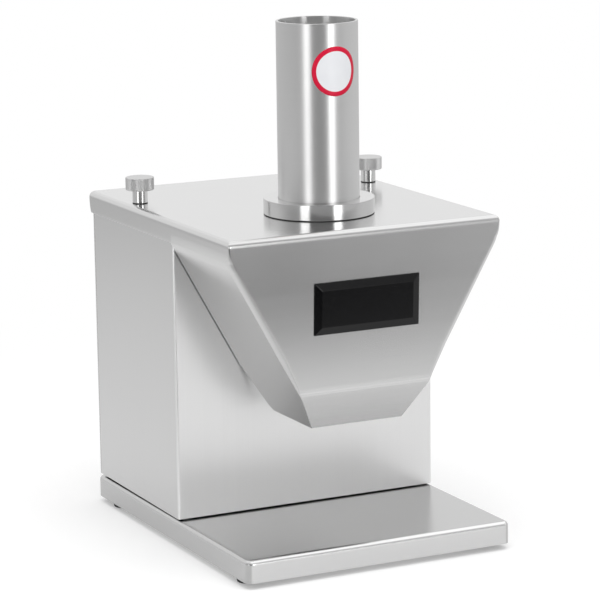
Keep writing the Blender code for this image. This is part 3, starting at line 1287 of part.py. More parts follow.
def main():
    """Build the machine, from the floor up."""
    clear_scene()
    hood = carrier_at("hood_lift", (0.0, POST_Y, COVER_TOP))
    rotor = carrier_at("rotor_axis", (0.0, ROTOR_Y, BLADE_TOP))
    layshaft = carrier_at("layshaft_axis", (LAY_X, LAY_Y, UPPER_GEAR_TOP))
    motor = carrier_at("motor_axis", (0.0, MOTOR_Y, CORE_TOP))
    make_base_tray()
    make_feet()
    make_case_bolts()
    make_body_case()
    make_rear_panel()
    make_panel_screws()
    make_deck()
    make_cover_posts()
    make_shaft_seal()
    make_gearbox_case()
    make_gearbox_lid()
    make_gearbox_screws()
    make_output_bearings()
    make_motor_housing()
    make_capacitor()
    make_inlet()
    make_switch()
    make_output_train(rotor)
    make_blade_hub(rotor)
    make_blade(rotor)
    make_blade_nut(rotor)
    make_layshaft(layshaft)
    make_motor_rotor(motor)
    make_hood_shell(hood)
    make_feed_tube(hood)
    make_tube_flange(hood)
    make_ring_screws(hood)
    make_thumb_nuts(hood)
    make_name_plate(hood)
    make_hood_sensor(hood)


main()
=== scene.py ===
"""Looks of the electric sausage cutter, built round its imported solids.

Metres, +Z up, the machine faces -Y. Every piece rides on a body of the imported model.
"""
import json
import math

import bmesh
import bpy
from mathutils import Matrix, Vector

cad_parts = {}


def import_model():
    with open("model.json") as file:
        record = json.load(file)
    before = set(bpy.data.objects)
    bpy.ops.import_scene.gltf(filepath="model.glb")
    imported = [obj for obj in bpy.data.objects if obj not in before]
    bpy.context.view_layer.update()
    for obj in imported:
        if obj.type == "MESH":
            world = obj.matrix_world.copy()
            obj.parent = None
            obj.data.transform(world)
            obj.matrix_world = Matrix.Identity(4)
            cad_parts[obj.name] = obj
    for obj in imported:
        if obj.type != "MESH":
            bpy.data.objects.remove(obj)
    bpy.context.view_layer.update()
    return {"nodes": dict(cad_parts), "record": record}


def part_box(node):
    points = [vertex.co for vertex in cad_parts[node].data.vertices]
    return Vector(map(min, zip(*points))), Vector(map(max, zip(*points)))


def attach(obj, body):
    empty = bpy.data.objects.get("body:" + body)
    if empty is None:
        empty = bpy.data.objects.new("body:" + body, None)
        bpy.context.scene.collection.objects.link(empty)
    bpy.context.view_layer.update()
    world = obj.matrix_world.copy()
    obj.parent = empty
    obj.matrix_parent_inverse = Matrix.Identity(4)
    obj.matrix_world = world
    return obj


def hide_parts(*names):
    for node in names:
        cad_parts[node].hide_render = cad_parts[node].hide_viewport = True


MM = 0.001
MICRON = 0.000001
WHITE = (1.0, 1.0, 1.0, 1.0)

# Steps of flats, arcs and turned shapes, and the points that an open rear leaves out
FLAT_STEPS = 4
ARC_STEPS = 8
TURN_STEPS = 128
SMALL_TURN_STEPS = 64
CLOSE_STEP = 1.5 * MM
CLOSE_SHARE = 4
REAR_POINTS = 2 * FLAT_STEPS + ARC_STEPS + 4

# Softened edges and even shading
EDGE_SEGMENTS = 2
NODE_EDGE = 0.2 * MM
CHAMFER_BULGE = 0.4
SMOOTH_ANGLE = math.radians(32.0)
MERGE_DISTANCE = 2 * MICRON

# Corners of a turned block, counted from its inner bottom
OUTER_BOTTOM = 1
OUTER_TOP = 2
INNER_TOP = 3
ALL_CORNERS = range(4)

# Hood: cover, skirt and slanted chute, folded from one sheet
SHEET = 1.5 * MM
COVER_BEND = 4.6 * MM
COVER_CORNER = 5.0 * MM
HOOD_EDGE = 4.6 * MM
HOOD_EDGE_FADE = 14.0 * MM
LOWER_EDGE = 0.4 * MM
FOLD_RADIUS = 26.0 * MM
REAR_FOLD_RADIUS = 2.5 * MM
FOLD_CHANGE = 24.0 * MM
KNEE_RADIUS = 14.0 * MM
FRONT_LEAN = math.radians(2.3)
LOWER_LEAN = math.radians(27.7)
SIDE_SLANT = math.radians(29.1)
SKIRT = 16.5 * MM
SKIRT_CORNER = 1.6 * MM
LEAST_CORNER = 0.4 * MM
SKIRT_END = 0.1 * MM
FRONT_BEND_DROP = 119.3 * MM
REAR_CUT_RISE = 34.0 * MM
REAR_CUT_DEPTH = 15.6 * MM
REAR_CUT_CORNER = 6.0 * MM
REAR_CORNER_LOW = 8.0 * MM
HOOD_GAP = 1.5 * MM
TUBE_HOLE_AIR = 0.3 * MM
STUD_HOLE_AIR = -1.7 * MM
HOLE_REACH = 8.0 * MM

# Tray and feet
TRAY_BEND = 3.6 * MM
TRAY_CORNER = 5.6 * MM
TRAY_INNER_CORNER = 0.4 * MM
TRAY_RIM = 1.0 * MM
TRAY_TOP_INSET = 1.5 * MM
TRAY_WIDER = 1.0 * MM
TRAY_LONGER = 1.0 * MM
FOOT_WIDER = 1.2 * MM
FOOT_EDGE = 1.2 * MM

# Case and its window
CASE_CORNER = 2.2 * MM
CASE_DROP = 1.1 * MM
CASE_EDGE = 0.3 * MM
WINDOW_HALF_WIDTH = 92.05 * MM
WINDOW_SILL = 4.0 * MM
WALL_STEPS = 2

# Tube and ring
TUBE_WALL = 2.0 * MM
BORE_TEST = 0.1 * MM
BORE_AIR = 0.15 * MM
TURNED_EDGE = 0.35 * MM

# Thumb nuts
KNURLS = 64
KNURL_STEPS = 4
KNURL_DEPTH = 0.28 * MM
NUT_EDGE = 0.4 * MM
NUT_HEAD = 9.7 * MM
NUT_BORE = 5.0 * MM
STEM_RADIUS = 5.8 * MM
STEM_OVERLAP = 0.5 * MM
STEM_EDGE = 0.3 * MM
WASHER_BORE = 4.3 * MM

# Bare plate on the front
PLATE_AIR = 0.3 * MM
PLATE_EDGE = 0.5 * MM
PLATE_THICKNESS = 2.0 * MM
PLATE_BEVEL = 5.6 * MM
PLATE_SOFTENING = 0.3 * MM
PLATE_EDGE_ANGLE = math.radians(8.0)

# Thin dark line under the ring and under the nuts
SEAL_AIR = 0.05 * MM
SEAL_THICKNESS = 0.45 * MM
SEAL_EDGE = 0.15 * MM

# Round sticker on the tube
STICKER_RADIUS = 18.1 * MM
STICKER_RIM = 3.4 * MM
STICKER_HEIGHT = 357.3 * MM
STICKER_TURN = math.radians(-90.3)
STICKER_PROUD = 0.08 * MM
STICKER_RINGS = 14
RIM_BLUR = 0.004

# Steel: shares of fine lines, wider streaks and soft cloud, and what they do to the finish
LINE_SHARE = 0.55
STREAK_SHARE = 0.25
CLOUD_SHARE = 0.2
TONE_CONTRAST = 0.8
TONE_SWING = 0.035
TONE_WARMTH = 0.002
LINE_ROUGHNESS = 0.05
CLOUD_ROUGHNESS = 0.04
LINE_BUMP = 0.5

# Brushed grain: lines per metre along and across, scale of streaks and cloud, depth in microns
GRAIN_ALONG = 3.0
GRAIN_ACROSS = 900.0
GRAIN_STREAKS = 0.17
SHEET_CLOUD = 14.0
SHEET_GRAIN_DEPTH = 0.25

# How far a face has to look to one side or up to count as a side, a top or an upright bend, for the
# grain's direction and for the painted shade and highlight
SIDE_FACE = (0.55, 0.75)
TRAY_SIDE_FACE = (0.2, 0.5)
TOP_FACE = (0.9, 0.98)
BEND_FACE = (0.2, 0.4)

# Turning marks: scales round and across them, of streaks and cloud, and the turn of their smear
TURNING_ROUND = 12.0
TURNING_ACROSS = 1500.0
TURNING_STREAKS = 0.12
TURNING_CLOUD = 22.0
UPRIGHT_SMEAR = 0.25

# Even grain: scale and share of the cloud, darkest and lightest shade, roughness swing, bump
GRAIN_DETAIL = 3.0
GRAIN_ROUGHNESS = 0.6
METAL_FEEL = (30.0, 0.6, 0.82, 1.12, 0.2, 0.6)
MOULDED_FEEL = (40.0, 0.7, 0.8, 1.25, 0.15, 0.5)

# Slots of plain metal: name, colour, roughness, grains per metre, grain depth in microns
METALS = {
    "polished_steel": ("steel_polished", (0.70, 0.70, 0.69), 0.16, 900.0, 4.0),
    "satin_steel": ("steel_satin", (0.66, 0.66, 0.65), 0.4, 700.0, 10.0),
    "gear_steel": ("steel_gears", (0.42, 0.42, 0.43), 0.34, 600.0, 10.0),
    "core_steel": ("steel_laminations", (0.24, 0.23, 0.22), 0.5, 800.0, 20.0),
    "zinc_plate": ("zinc_plated", (0.56, 0.58, 0.61), 0.35, 500.0, 10.0),
    "cast_alloy": ("alloy_cast", (0.46, 0.47, 0.48), 0.55, 350.0, 80.0),
    "brass": ("brass_pins", (0.72, 0.54, 0.26), 0.28, 600.0, 6.0),
}

# Slots of paint, rubber and plastic: the same columns, and the shine where it isn't the usual one
MOULDINGS = {
    "grey_paint": ("paint_grey", (0.19, 0.21, 0.23), 0.45, 450.0, 30.0),
    "black_rubber": ("rubber_black", (0.018, 0.018, 0.018), 0.7, 700.0, 30.0),
    "black_gloss": ("lacquer_black", (0.003, 0.003, 0.0035), 0.13, 300.0, 1.0, 0.32),
    "black_plastic": ("plastic_black", (0.026, 0.026, 0.027), 0.42, 900.0, 20.0),
    "white_plastic": ("plastic_white", (0.72, 0.72, 0.70), 0.4, 500.0, 10.0),
}

# Photograph's camera, seen from the middle of the machine
CAMERA_AIM = Vector((0.0, 0.018926, 0.147978))
CAMERA_AZIMUTH = math.radians(-26.24)
CAMERA_ELEVATION = math.radians(11.567)
CAMERA_DISTANCE = 2.18774
CAMERA_RIGHT = 0.012790
CAMERA_UP = 0.023575
CAMERA_ROLL = math.radians(-0.798)
CAMERA_LENS = 171.40
CAMERA_SENSOR = 36.0
CAMERA_CLIP = (0.05, 50.0)

# Lamps: name, degrees to the camera's right, degrees up, distance, width, height, power
LAMP_AIM = Vector((0.0, 0.0, 0.15))
LAMPS = (
    ("overhead_box", 20.0, 78.0, 1.5, 1.3, 1.0, 9.0),
    ("left_box", -30.0, 8.0, 1.15, 0.4, 1.1, 1.6),
    ("right_box", 40.0, 8.0, 1.15, 0.4, 1.1, 1.6),
)

# Studio light: 1 is white
LOW_LIGHT = 0.62
LOW_RIGHT_GAIN = 0.06
LOW_BACK_GAIN = 0.06
BETWEEN_LIGHT = 0.1
BETWEEN_GAIN = 0.9
LEFT_BOX_LIGHT = 3.0
RIGHT_BOX_LIGHT = 4.4
TOP_LIGHT = 1.5
OVERHEAD_LIGHT = 1.05
BACK_LIGHT = 0.99
BACK_TO_FRONT_LOSS = 0.46
FILL_LIGHT = 0.72

# Soft edges in the studio: upward and toward the camera as shares, to its right in degrees
BETWEEN_GLOW = ((-0.165, -0.1), (-0.04, 0.06))
BETWEEN_END = (0.2, 0.4)
BOX_HEIGHT = ((-0.20, -0.18), (0.14, 0.33))
TOP_EDGE = (0.5, 0.9)
OVERHEAD_EDGE = (0.78, 0.97)
HORIZON = (-0.08, 0.16)
BEHIND_EDGE = (0.1, 0.5)
FRONT_EDGE = (-0.2, 0.6)
LEFT_BOX = ((-40.0, -37.0), (-22.0, -19.0))
RIGHT_BOX = ((29.0, 33.0), (42.0, 51.0))
BETWEEN = ((-28.0, -19.0), (28.0, 36.0))

# Floor: its levels, where 1 is white
FLOOR_LIFT = 0.28
FLOOR_MIRROR_LIFT = 0.14
FLOOR_NEAR = 0.95
FLOOR_FALL = 0.12
FLOOR_LEFT_LOSS = 0.38
FLOOR_NEAR_LOSS = 0.1
FLOOR_FRONT_KEPT = 0.12
FLOOR_FRONT_RIGHT_GAIN = 0.42
FLOOR_GREYS = (0.79, 0.81)
FLOOR_GRAIN = 60.0

# Floor: where it changes, in metres from the middle, to the front or to the right
FLOOR_REACHES = (0.25, 0.5, 0.75, 1.0, 1.3)
FALL_REACH = (0.2, 1.2)
SEEN_GLOW_REACH = (0.3, 0.8)
MIRROR_GLOW_REACH = (0.2, 0.45)
CLOSE_FRONT = ((0.1, 0.15), (0.2, 0.3))
LEFT_FRONT = (0.16, 0.3)
LEFT_END = (-0.08, 0.06)
FAR_FRONT = (0.46, 0.8)
FAR_RIGHT = (0.1, 0.7)


class Value:
    """A shader socket that takes part in Python expressions."""

    def __init__(self, shader, socket):
        self.shader = shader
        self.socket = socket

    def maths(self, operation, *others):
        """One Math node that starts with this value."""
        values = dict(enumerate((self,) + others))
        return self.shader.node("ShaderNodeMath", {"operation": operation}, values)["Value"]

    def __add__(self, other):
        return self.maths("ADD", other)

    __radd__ = __add__

    def __sub__(self, other):
        return self.maths("SUBTRACT", other)

    def __rsub__(self, other):
        return self.shader.node("ShaderNodeMath", {"operation": "SUBTRACT"}, {0: other, 1: self})["Value"]

    def __mul__(self, other):
        return self.maths("MULTIPLY", other)

    __rmul__ = __mul__

    def __pow__(self, other):
        return self.maths("POWER", other)

    def __lt__(self, other):
        return self.maths("LESS_THAN", other)

    def __abs__(self):
        return self.maths("ABSOLUTE")

    def smooth(self, low, high):
        """0 below low, 1 above high, and a soft step between them."""
        settings = {"interpolation_type": "SMOOTHSTEP"}
        values = {"Value": self, "From Min": low, "From Max": high}
        return self.shader.node("ShaderNodeMapRange", settings, values)["Result"]

    def band(self, rise, fall):
        """1 between a soft rise and a soft fall, and 0 outside them."""
        return self.smooth(*rise) - self.smooth(*fall)

    def blended(self, other, share):
        """Part of the way from this value to another."""
        return self + (other - self) * share


class Outputs:
    """The outputs of one node, read by name."""

    def __init__(self, shader, node):
        self.shader = shader
        self.node = node

    def __getitem__(self, name):
        shown = [item for item in self.node.outputs if item.name == name and item.enabled]
        return Value(self.shader, shown[0])


class Shader:
    """Adds nodes to the tree of a material, the world or a node group."""

    def __init__(self, tree):
        self.tree = tree

    def node(self, kind, settings=None, values=None):
        """A node of one type: its settings first, then its sockets' values or links."""
        made = self.tree.nodes.new(kind)
        for name, setting in (settings or {}).items():
            setattr(made, name, setting)
        for name, value in (values or {}).items():
            self.fill(self.input_of(made, name), value)
        return Outputs(self, made)

    def input_of(self, made, name):
        """An input by its place or by its name, among those that are in use."""
        if isinstance(name, int):
            return made.inputs[name]
        return [item for item in made.inputs if item.name == name and item.enabled][0]

    def fill(self, target, value):
        """Give a socket its value or its link."""
        if isinstance(value, Value):
            self.tree.links.new(value.socket, target)
        else:
            target.default_value = value

    def surface(self, values):
        """Fill the Principled shader's sockets with numbers, colours or links."""
        for name, value in values.items():
            self.fill(self.tree.nodes["Principled BSDF"].inputs[name], value)

    def colour(self, share, low, high, blend="MIX"):
        """A colour between two colours."""
        settings = {"data_type": "RGBA", "blend_type": blend}
        return self.node("ShaderNodeMix", settings, {"Factor": share, "A": low, "B": high})["Result"]

    def place(self):
        """Where a point of the piece is, in metres."""
        return self.node("ShaderNodeTexCoord")["Object"]

    def parts_of(self, vector):
        """x, y and z of a vector."""
        split = self.node("ShaderNodeSeparateXYZ", {}, {"Vector": vector})
        return split["X"], split["Y"], split["Z"]

    def joined(self, x, y, z):
        """A vector from x, y and z."""
        return self.node("ShaderNodeCombineXYZ", {}, {"X": x, "Y": y, "Z": z})["Vector"]

    def noise(self, vector, scale, detail=2.0, roughness=0.5):
        """Soft noise from 0 to 1."""
        values = {"Vector": vector, "Scale": scale, "Detail": detail, "Roughness": roughness}
        return self.node("ShaderNodeTexNoise", {}, values)["Fac"]

    def bump(self, height, strength, distance):
        """A normal that follows small heights."""
        values = {"Height": height, "Strength": strength, "Distance": distance}
        return self.node("ShaderNodeBump", {}, values)["Normal"]

    def rays(self):
        """Whether the camera sees a place, and whether a mirror or glass does."""
        path = self.node("ShaderNodeLightPath")
        return path["Is Camera Ray"], path["Is Glossy Ray"] + path["Is Transmission Ray"]


def start_material(name):
    """A material with only its Principled shader and output."""
    material = bpy.data.materials.new(name)
    material.use_nodes = True
    return material, Shader(material.node_tree)


def grey(level, warmth=0.0):
    """A colour of one level, a little warmer or cooler."""
    return (level * (1 + warmth), level, level * (1 - warmth), 1.0)


def brushed_coordinates(shader, place, along):
    """Coordinates that run slowly along the grain and fast across it."""
    stretch = tuple(GRAIN_ALONG if axis == along else GRAIN_ACROSS for axis in "XYZ")
    values = {0: place, 1: stretch}
    return shader.node("ShaderNodeVectorMath", {"operation": "MULTIPLY"}, values)["Vector"]


def painted_facing_light(shader, side_face, painted_side_shade, painted_top_shade, painted_bend_highlight):
    """Painted light and shade by facing: how much darker or lighter the sheet's colour is made on its
    sides, its flat top and its upright bends, next to its front.
    """
    across, along, up = shader.parts_of(shader.node("ShaderNodeNewGeometry")["Normal"])
    side = abs(across).smooth(*side_face)
    top = up.smooth(*TOP_FACE)
    bend = abs(across * along).smooth(*BEND_FACE)
    tone = 1 + side * (painted_side_shade - 1) + top * (painted_top_shade - 1) + bend * (painted_bend_highlight - 1)
    return side, shader.joined(tone, tone, tone)


def steel_values(shader, place, grain, streak_scale, cloud_scale, level, roughness, depth):
    """Colour, roughness and grain of steel from its lines, streaks and large soft cloud."""
    lines = shader.noise(grain, 1.0)
    streaks = shader.noise(grain, streak_scale)
    cloud = shader.noise(place, cloud_scale)
    tone = LINE_SHARE * lines + STREAK_SHARE * streaks + CLOUD_SHARE * cloud
    marks = (tone - 0.5) * TONE_CONTRAST + 0.5
    darker = grey(level * (1 - TONE_SWING), TONE_WARMTH)
    lighter = grey(level * (1 + TONE_SWING))
    return {
        "Base Color": shader.colour(marks, darker, lighter),
        "Roughness": roughness + (lines - 0.5) * LINE_ROUGHNESS + (cloud - 0.5) * CLOUD_ROUGHNESS,
        "Normal": shader.bump(lines, LINE_BUMP, depth * MICRON),
        "Metallic": 1.0,
    }


def sheet_steel(
    name, face_grain, side_grain, level=0.67, roughness=0.19, painted_tones=(1.0, 1.0, 1.0), side_face=SIDE_FACE,
):
    """Brushed sheet: one grain direction on the front and top, one on the sides, and painted shade and
    highlight by facing in its colour.
    """
    material, shader = start_material(name)
    place = shader.place()
    side, tone = painted_facing_light(shader, side_face, *painted_tones)
    front_vector = brushed_coordinates(shader, place, face_grain)
    side_vector = brushed_coordinates(shader, place, side_grain)
    sides = {"Factor": side, "A": front_vector, "B": side_vector}
    grain = shader.node("ShaderNodeMix", {"data_type": "VECTOR"}, sides)["Result"]
    values = steel_values(
        shader, place, grain, GRAIN_STREAKS, SHEET_CLOUD, level, roughness, SHEET_GRAIN_DEPTH,
    )
    # Painted shade and highlight: the colour is multiplied by a tone that depends on which way the face
    # looks
    values["Base Color"] = shader.colour(1.0, values["Base Color"], tone, "MULTIPLY")
    shader.surface(values)
    return material


def turned_steel(name, centre, level, roughness, depth=0.6, smear=0.5):
    """Steel with fine turning rings round a vertical axis, which smear highlights upwards."""
    material, shader = start_material(name)
    place = shader.place()
    x, y, z = shader.parts_of(place)
    right = x - centre[0]
    back = y - centre[1]
    reach = (right * right + back * back) ** 0.5
    rings = shader.joined(right * TURNING_ROUND, back * TURNING_ROUND, (z + reach) * TURNING_ACROSS)
    values = steel_values(shader, place, rings, TURNING_STREAKS, TURNING_CLOUD, level, roughness, depth)
    values["Anisotropic"] = smear
    values["Anisotropic Rotation"] = UPRIGHT_SMEAR
    shader.surface(values)
    return material


def even_grain(name, colour, roughness, grain_scale, depth, feel, others):
    """A finish with an even fine grain and a soft cloud in its colour."""
    material, shader = start_material(name)
    cloud_scale, cloud_share, darker, lighter, swing, bump = feel
    place = shader.place()
    grain = shader.noise(place, grain_scale, GRAIN_DETAIL, GRAIN_ROUGHNESS)
    cloud = shader.noise(place, cloud_scale)
    low = tuple(part * darker for part in colour) + (1.0,)
    high = tuple(min(part * lighter, 1.0) for part in colour) + (1.0,)
    shader.surface({
        "Base Color": shader.colour(cloud_share * cloud + (1 - cloud_share) * grain, low, high),
        "Roughness": roughness + (grain - 0.5) * swing,
        "Normal": shader.bump(grain, bump, depth * MICRON),
        **others,
    })
    return material


def plain_metal(name, colour, roughness, grain_scale, depth):
    """Machined, cast or plated metal."""
    return even_grain(name, colour, roughness, grain_scale, depth, METAL_FEEL, {"Metallic": 1.0})


def moulded(name, colour, roughness, grain_scale, depth, shine=0.5):
    """Moulded plastic, rubber or paint."""
    others = {"Metallic": 0.0, "Specular IOR Level": shine}
    return even_grain(name, colour, roughness, grain_scale, depth, MOULDED_FEEL, others)


def winding_copper(name):
    """Enamelled copper wire wound round the stator."""
    material, shader = start_material(name)
    values = {"Vector": shader.place(), "Scale": 180.0, "Distortion": 0.6, "Detail": 1.0}
    wave = shader.node("ShaderNodeTexWave", {"bands_direction": "Z"}, values)["Fac"]
    shader.surface({
        "Base Color": shader.colour(wave, (0.30, 0.10, 0.04, 1.0), (0.66, 0.30, 0.13, 1.0)),
        "Roughness": 0.5 - wave * 0.15,
        "Normal": shader.bump(wave, 0.8, 0.3 * MM),
        "Metallic": 0.9,
    })
    return material


def sticker_print(name):
    """White disc with a red rim, on satin film."""
    material, shader = start_material(name)
    unrolled = shader.node("ShaderNodeTexCoord")["UV"]
    across, up, _ = shader.parts_of(unrolled)
    reach = ((across - 0.5) ** 2.0 + (up - 0.5) ** 2.0) ** 0.5
    edge = 0.5 - STICKER_RIM / (2 * STICKER_RADIUS)
    rim = reach.smooth(edge - RIM_BLUR, edge + RIM_BLUR)
    cloud = shader.noise(shader.place(), 90.0)
    paper = shader.colour(cloud, (0.78, 0.79, 0.82, 1.0), (0.84, 0.85, 0.87, 1.0))
    ink = shader.colour(cloud, (0.60, 0.002, 0.035, 1.0), (0.68, 0.003, 0.042, 1.0))
    shader.surface({
        "Base Color": shader.colour(rim, paper, ink),
        "Roughness": 0.34 + (cloud - 0.5) * 0.06,
        "Specular IOR Level": 0.25,
    })
    return material


def slot_materials():
    """One procedural material for each of the record's slots, for the nodes that stay."""
    materials = {slot: plain_metal(*finish) for slot, finish in METALS.items()}
    materials.update({slot: moulded(*finish) for slot, finish in MOULDINGS.items()})
    materials["brushed_steel"] = sheet_steel("steel_sheet_inner", "X", "Z")
    materials["blade_steel"] = sheet_steel("steel_blade", "X", "X", 0.70, 0.2)
    materials["winding_copper"] = winding_copper("copper_winding")
    return materials


def new_mesh(name, bm):
    """Turn a bmesh into a mesh."""
    mesh = bpy.data.meshes.new(name)
    bm.to_mesh(mesh)
    bm.free()
    return mesh


def new_object(name, data):
    """Put an object into the scene."""
    made = bpy.data.objects.new(name, data)
    bpy.context.scene.collection.objects.link(made)
    return made


def new_piece(name, bm, material, body, nodes):
    """Turn a bmesh into a shown piece that rides on a body and stands for CAD nodes."""
    bmesh.ops.remove_doubles(bm, verts=bm.verts, dist=MERGE_DISTANCE)
    piece = new_object(name, new_mesh(name, bm))
    piece.data.materials.append(material)
    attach(piece, body)
    if nodes:
        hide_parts(*nodes)
    return piece


def apply_modifiers(piece):
    """Keep what the modifiers make of the mesh."""
    bpy.context.view_layer.update()
    graph = bpy.context.evaluated_depsgraph_get()
    made = bpy.data.meshes.new_from_object(piece.evaluated_get(graph))
    piece.modifiers.clear()
    piece.data = made


def thicken(piece, thickness=SHEET, outward=-1.0, even=True, inner_slot=0):
    """Give a skin its thickness: -1 thickens it inward and 1 outward."""
    solid = piece.modifiers.new("thickness", "SOLIDIFY")
    solid.thickness = thickness
    solid.offset = outward
    solid.use_even_offset = even
    solid.material_offset = inner_slot
    apply_modifiers(piece)


def add_bevel(piece, width, angle=SMOOTH_ANGLE):
    """Round the sharp edges a little."""
    bevel = piece.modifiers.new("edges", "BEVEL")
    bevel.width = width
    bevel.segments = EDGE_SEGMENTS
    bevel.limit_method = "ANGLE"
    bevel.angle_limit = angle


def add_even_normals(piece):
    """Even out the shading of flat faces."""
    even = piece.modifiers.new("normals", "WEIGHTED_NORMAL")
    even.keep_sharp = True


def smooth_faces(piece, angle=SMOOTH_ANGLE):
    """Smooth shading with even normals on flat faces."""
    piece.data.shade_smooth()
    piece.data.set_sharp_from_angle(angle=angle)
    add_even_normals(piece)


def bridge(bm, first, second, closed):
    """Quads between two rows of vertices; None leaves a hole."""
    count = len(first)
    for index in range(count if closed else count - 1):
        following = (index + 1) % count
        corners = [first[index], first[following], second[following], second[index]]
        if None not in corners:
            bm.faces.new(corners)


def skin(rows, closed=True, caps=()):
    """A bmesh from rows of points, capped at some rows; a missing point leaves a hole or an open row."""
    bm = bmesh.new()
    made = []
    for row in rows:
        made.append([None if point is None else bm.verts.new(point) for point in row])
    for first, second in zip(made, made[1:]):
        all_round = closed and first[0] is not None and second[0] is not None
        shorter = min(len(first), len(second))
        bridge(bm, first[:shorter], second[:shorter], all_round)
    for index in caps:
        bm.faces.new(made[index])
    bmesh.ops.remove_doubles(bm, verts=bm.verts, dist=MERGE_DISTANCE)
    bmesh.ops.recalc_face_normals(bm, faces=bm.faces)
    return bm


def arc(centre, radius, start, end, steps=ARC_STEPS):
    """Points on an arc, as (u, v)."""
    points = []
    for step in range(steps + 1):
        turn = start + (end - start) * step / steps
        points.append((centre[0] + radius * math.cos(turn), centre[1] + radius * math.sin(turn)))
    return points


def ring_of_points(centre, radius, height, steps):
    """Points on a level circle."""
    return [(u, v, height) for u, v in arc(centre, radius, 0.0, math.tau, steps)[:-1]]


def turned_block(span, heights, centre, steps, broken=(), edge=0.0):
    """A ring or disc turned round a vertical axis; its broken corners get chamfers in two steps."""
    inner, outer = span
    low, high = heights
    corners = [(inner, low), (outer, low), (outer, high), (inner, high)]
    profile = []
    for index, place in enumerate(corners):
        if index not in broken:
            profile.append(place)
            continue
        corner = Vector(place)
        before = Vector(corners[index - 1]) - corner
        after = Vector(corners[(index + 1) % len(corners)]) - corner
        start = corner + before.normalized() * edge
        end = corner + after.normalized() * edge
        chord = (start + end) / 2
        profile.extend([start, chord + (corner - chord) * CHAMFER_BULGE, end])
    rows = [ring_of_points(centre, radius, height, steps) for radius, height in profile]
    if inner > 0.0:
        rows.append(rows[0])
    return skin(rows)


def spread(low, high, steps):
    """Even steps from low to high, with a close one at each end."""
    close = min(abs(high - low) / (CLOSE_SHARE * steps), CLOSE_STEP)
    sign = 1 if high > low else -1
    inner = [low + (high - low) * step / steps for step in range(1, steps)]
    return [low, low + sign * close] + inner + [high - sign * close, high]


def clamped(share):
    """A share kept between 0 and 1."""
    return min(max(share, 0.0), 1.0)


def centre_of(node):
    """x and y of the middle of a node's box."""
    low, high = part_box(node)
    return (low.x + high.x) / 2, (low.y + high.y) / 2


def radius_of(node):
    """Half the width of a node's box."""
    low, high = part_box(node)
    return (high.x - low.x) / 2


def knee_reach():
    """Length of the soft knee on either side of the front's bend."""
    return KNEE_RADIUS * math.tan((LOWER_LEAN - FRONT_LEAN) / 2)


def hood_front_at(z, front, top):
    """y of the hood's front at one height, with a soft knee."""
    knee = top - FRONT_BEND_DROP
    knee_y = front + FRONT_BEND_DROP * math.tan(FRONT_LEAN)
    upper = knee_y - (z - knee) * math.tan(FRONT_LEAN)
    lower = knee_y + (knee - z) * math.tan(LOWER_LEAN)
    share = (z - knee) / (knee_reach() * math.cos(FRONT_LEAN))
    if share >= 1.0:
        return upper
    if share <= -1.0:
        return lower
    blend = (share + 1.0) / 2
    rise = knee_reach() * (math.tan(LOWER_LEAN) - math.tan(FRONT_LEAN)) / 2
    return max(upper, lower) + rise * blend * (1 - blend) * 2


def hood_half_width_at(z, half, fold_z, radius):
    """Half width of the hood at one height: upright skirt, soft fold, slanted side."""
    reach = radius * math.tan(SIDE_SLANT / 2)
    if z >= fold_z + reach:
        return half
    if z <= fold_z - reach * math.cos(SIDE_SLANT):
        return half - (fold_z - z) * math.tan(SIDE_SLANT)
    drop = fold_z + reach - z
    return half - radius + math.sqrt(max(radius**2 - drop**2, 0.0))


def hood_rear_at(z, rear, outlet):
    """y of the rear edge of the chute's side at one height."""
    lift = z - outlet
    if lift >= REAR_CUT_RISE:
        return rear
    line = rear - REAR_CUT_DEPTH * (REAR_CUT_RISE - lift) / REAR_CUT_RISE
    if lift >= REAR_CUT_CORNER:
        return line
    return line - (REAR_CUT_CORNER - lift) ** 2 / (2 * REAR_CUT_CORNER)


def hood_heights(top, fold_z, outlet):
    """Heights of the hood's rows under its top bend, from the top down."""
    fold_reach = FOLD_RADIUS * math.tan(SIDE_SLANT / 2)
    fold_low = fold_z - fold_reach * math.cos(SIDE_SLANT)
    skirt_low = fold_z + fold_reach
    knee = top - FRONT_BEND_DROP
    upper_flat = top - COVER_BEND - skirt_low
    lower_flat = knee + knee_reach() - fold_low
    heights = [fold_z + SKIRT_END, outlet + REAR_CUT_RISE, outlet + REAR_CUT_RISE / 2]
    for step in range(1, FLAT_STEPS):
        heights.append(skirt_low + upper_flat * step / FLAT_STEPS)
        heights.append(fold_low + lower_flat * step / FLAT_STEPS)
    for step in range(ARC_STEPS + 1):
        heights.append(skirt_low - FOLD_RADIUS * math.sin(SIDE_SLANT * step / ARC_STEPS))
    for step in range(-FLAT_STEPS, FLAT_STEPS + 1):
        heights.append(knee - knee_reach() * step / FLAT_STEPS)
    for step in range(FLAT_STEPS + 1):
        heights.append(outlet + REAR_CUT_CORNER * step / FLAT_STEPS)
    return sorted(set(heights), reverse=True)


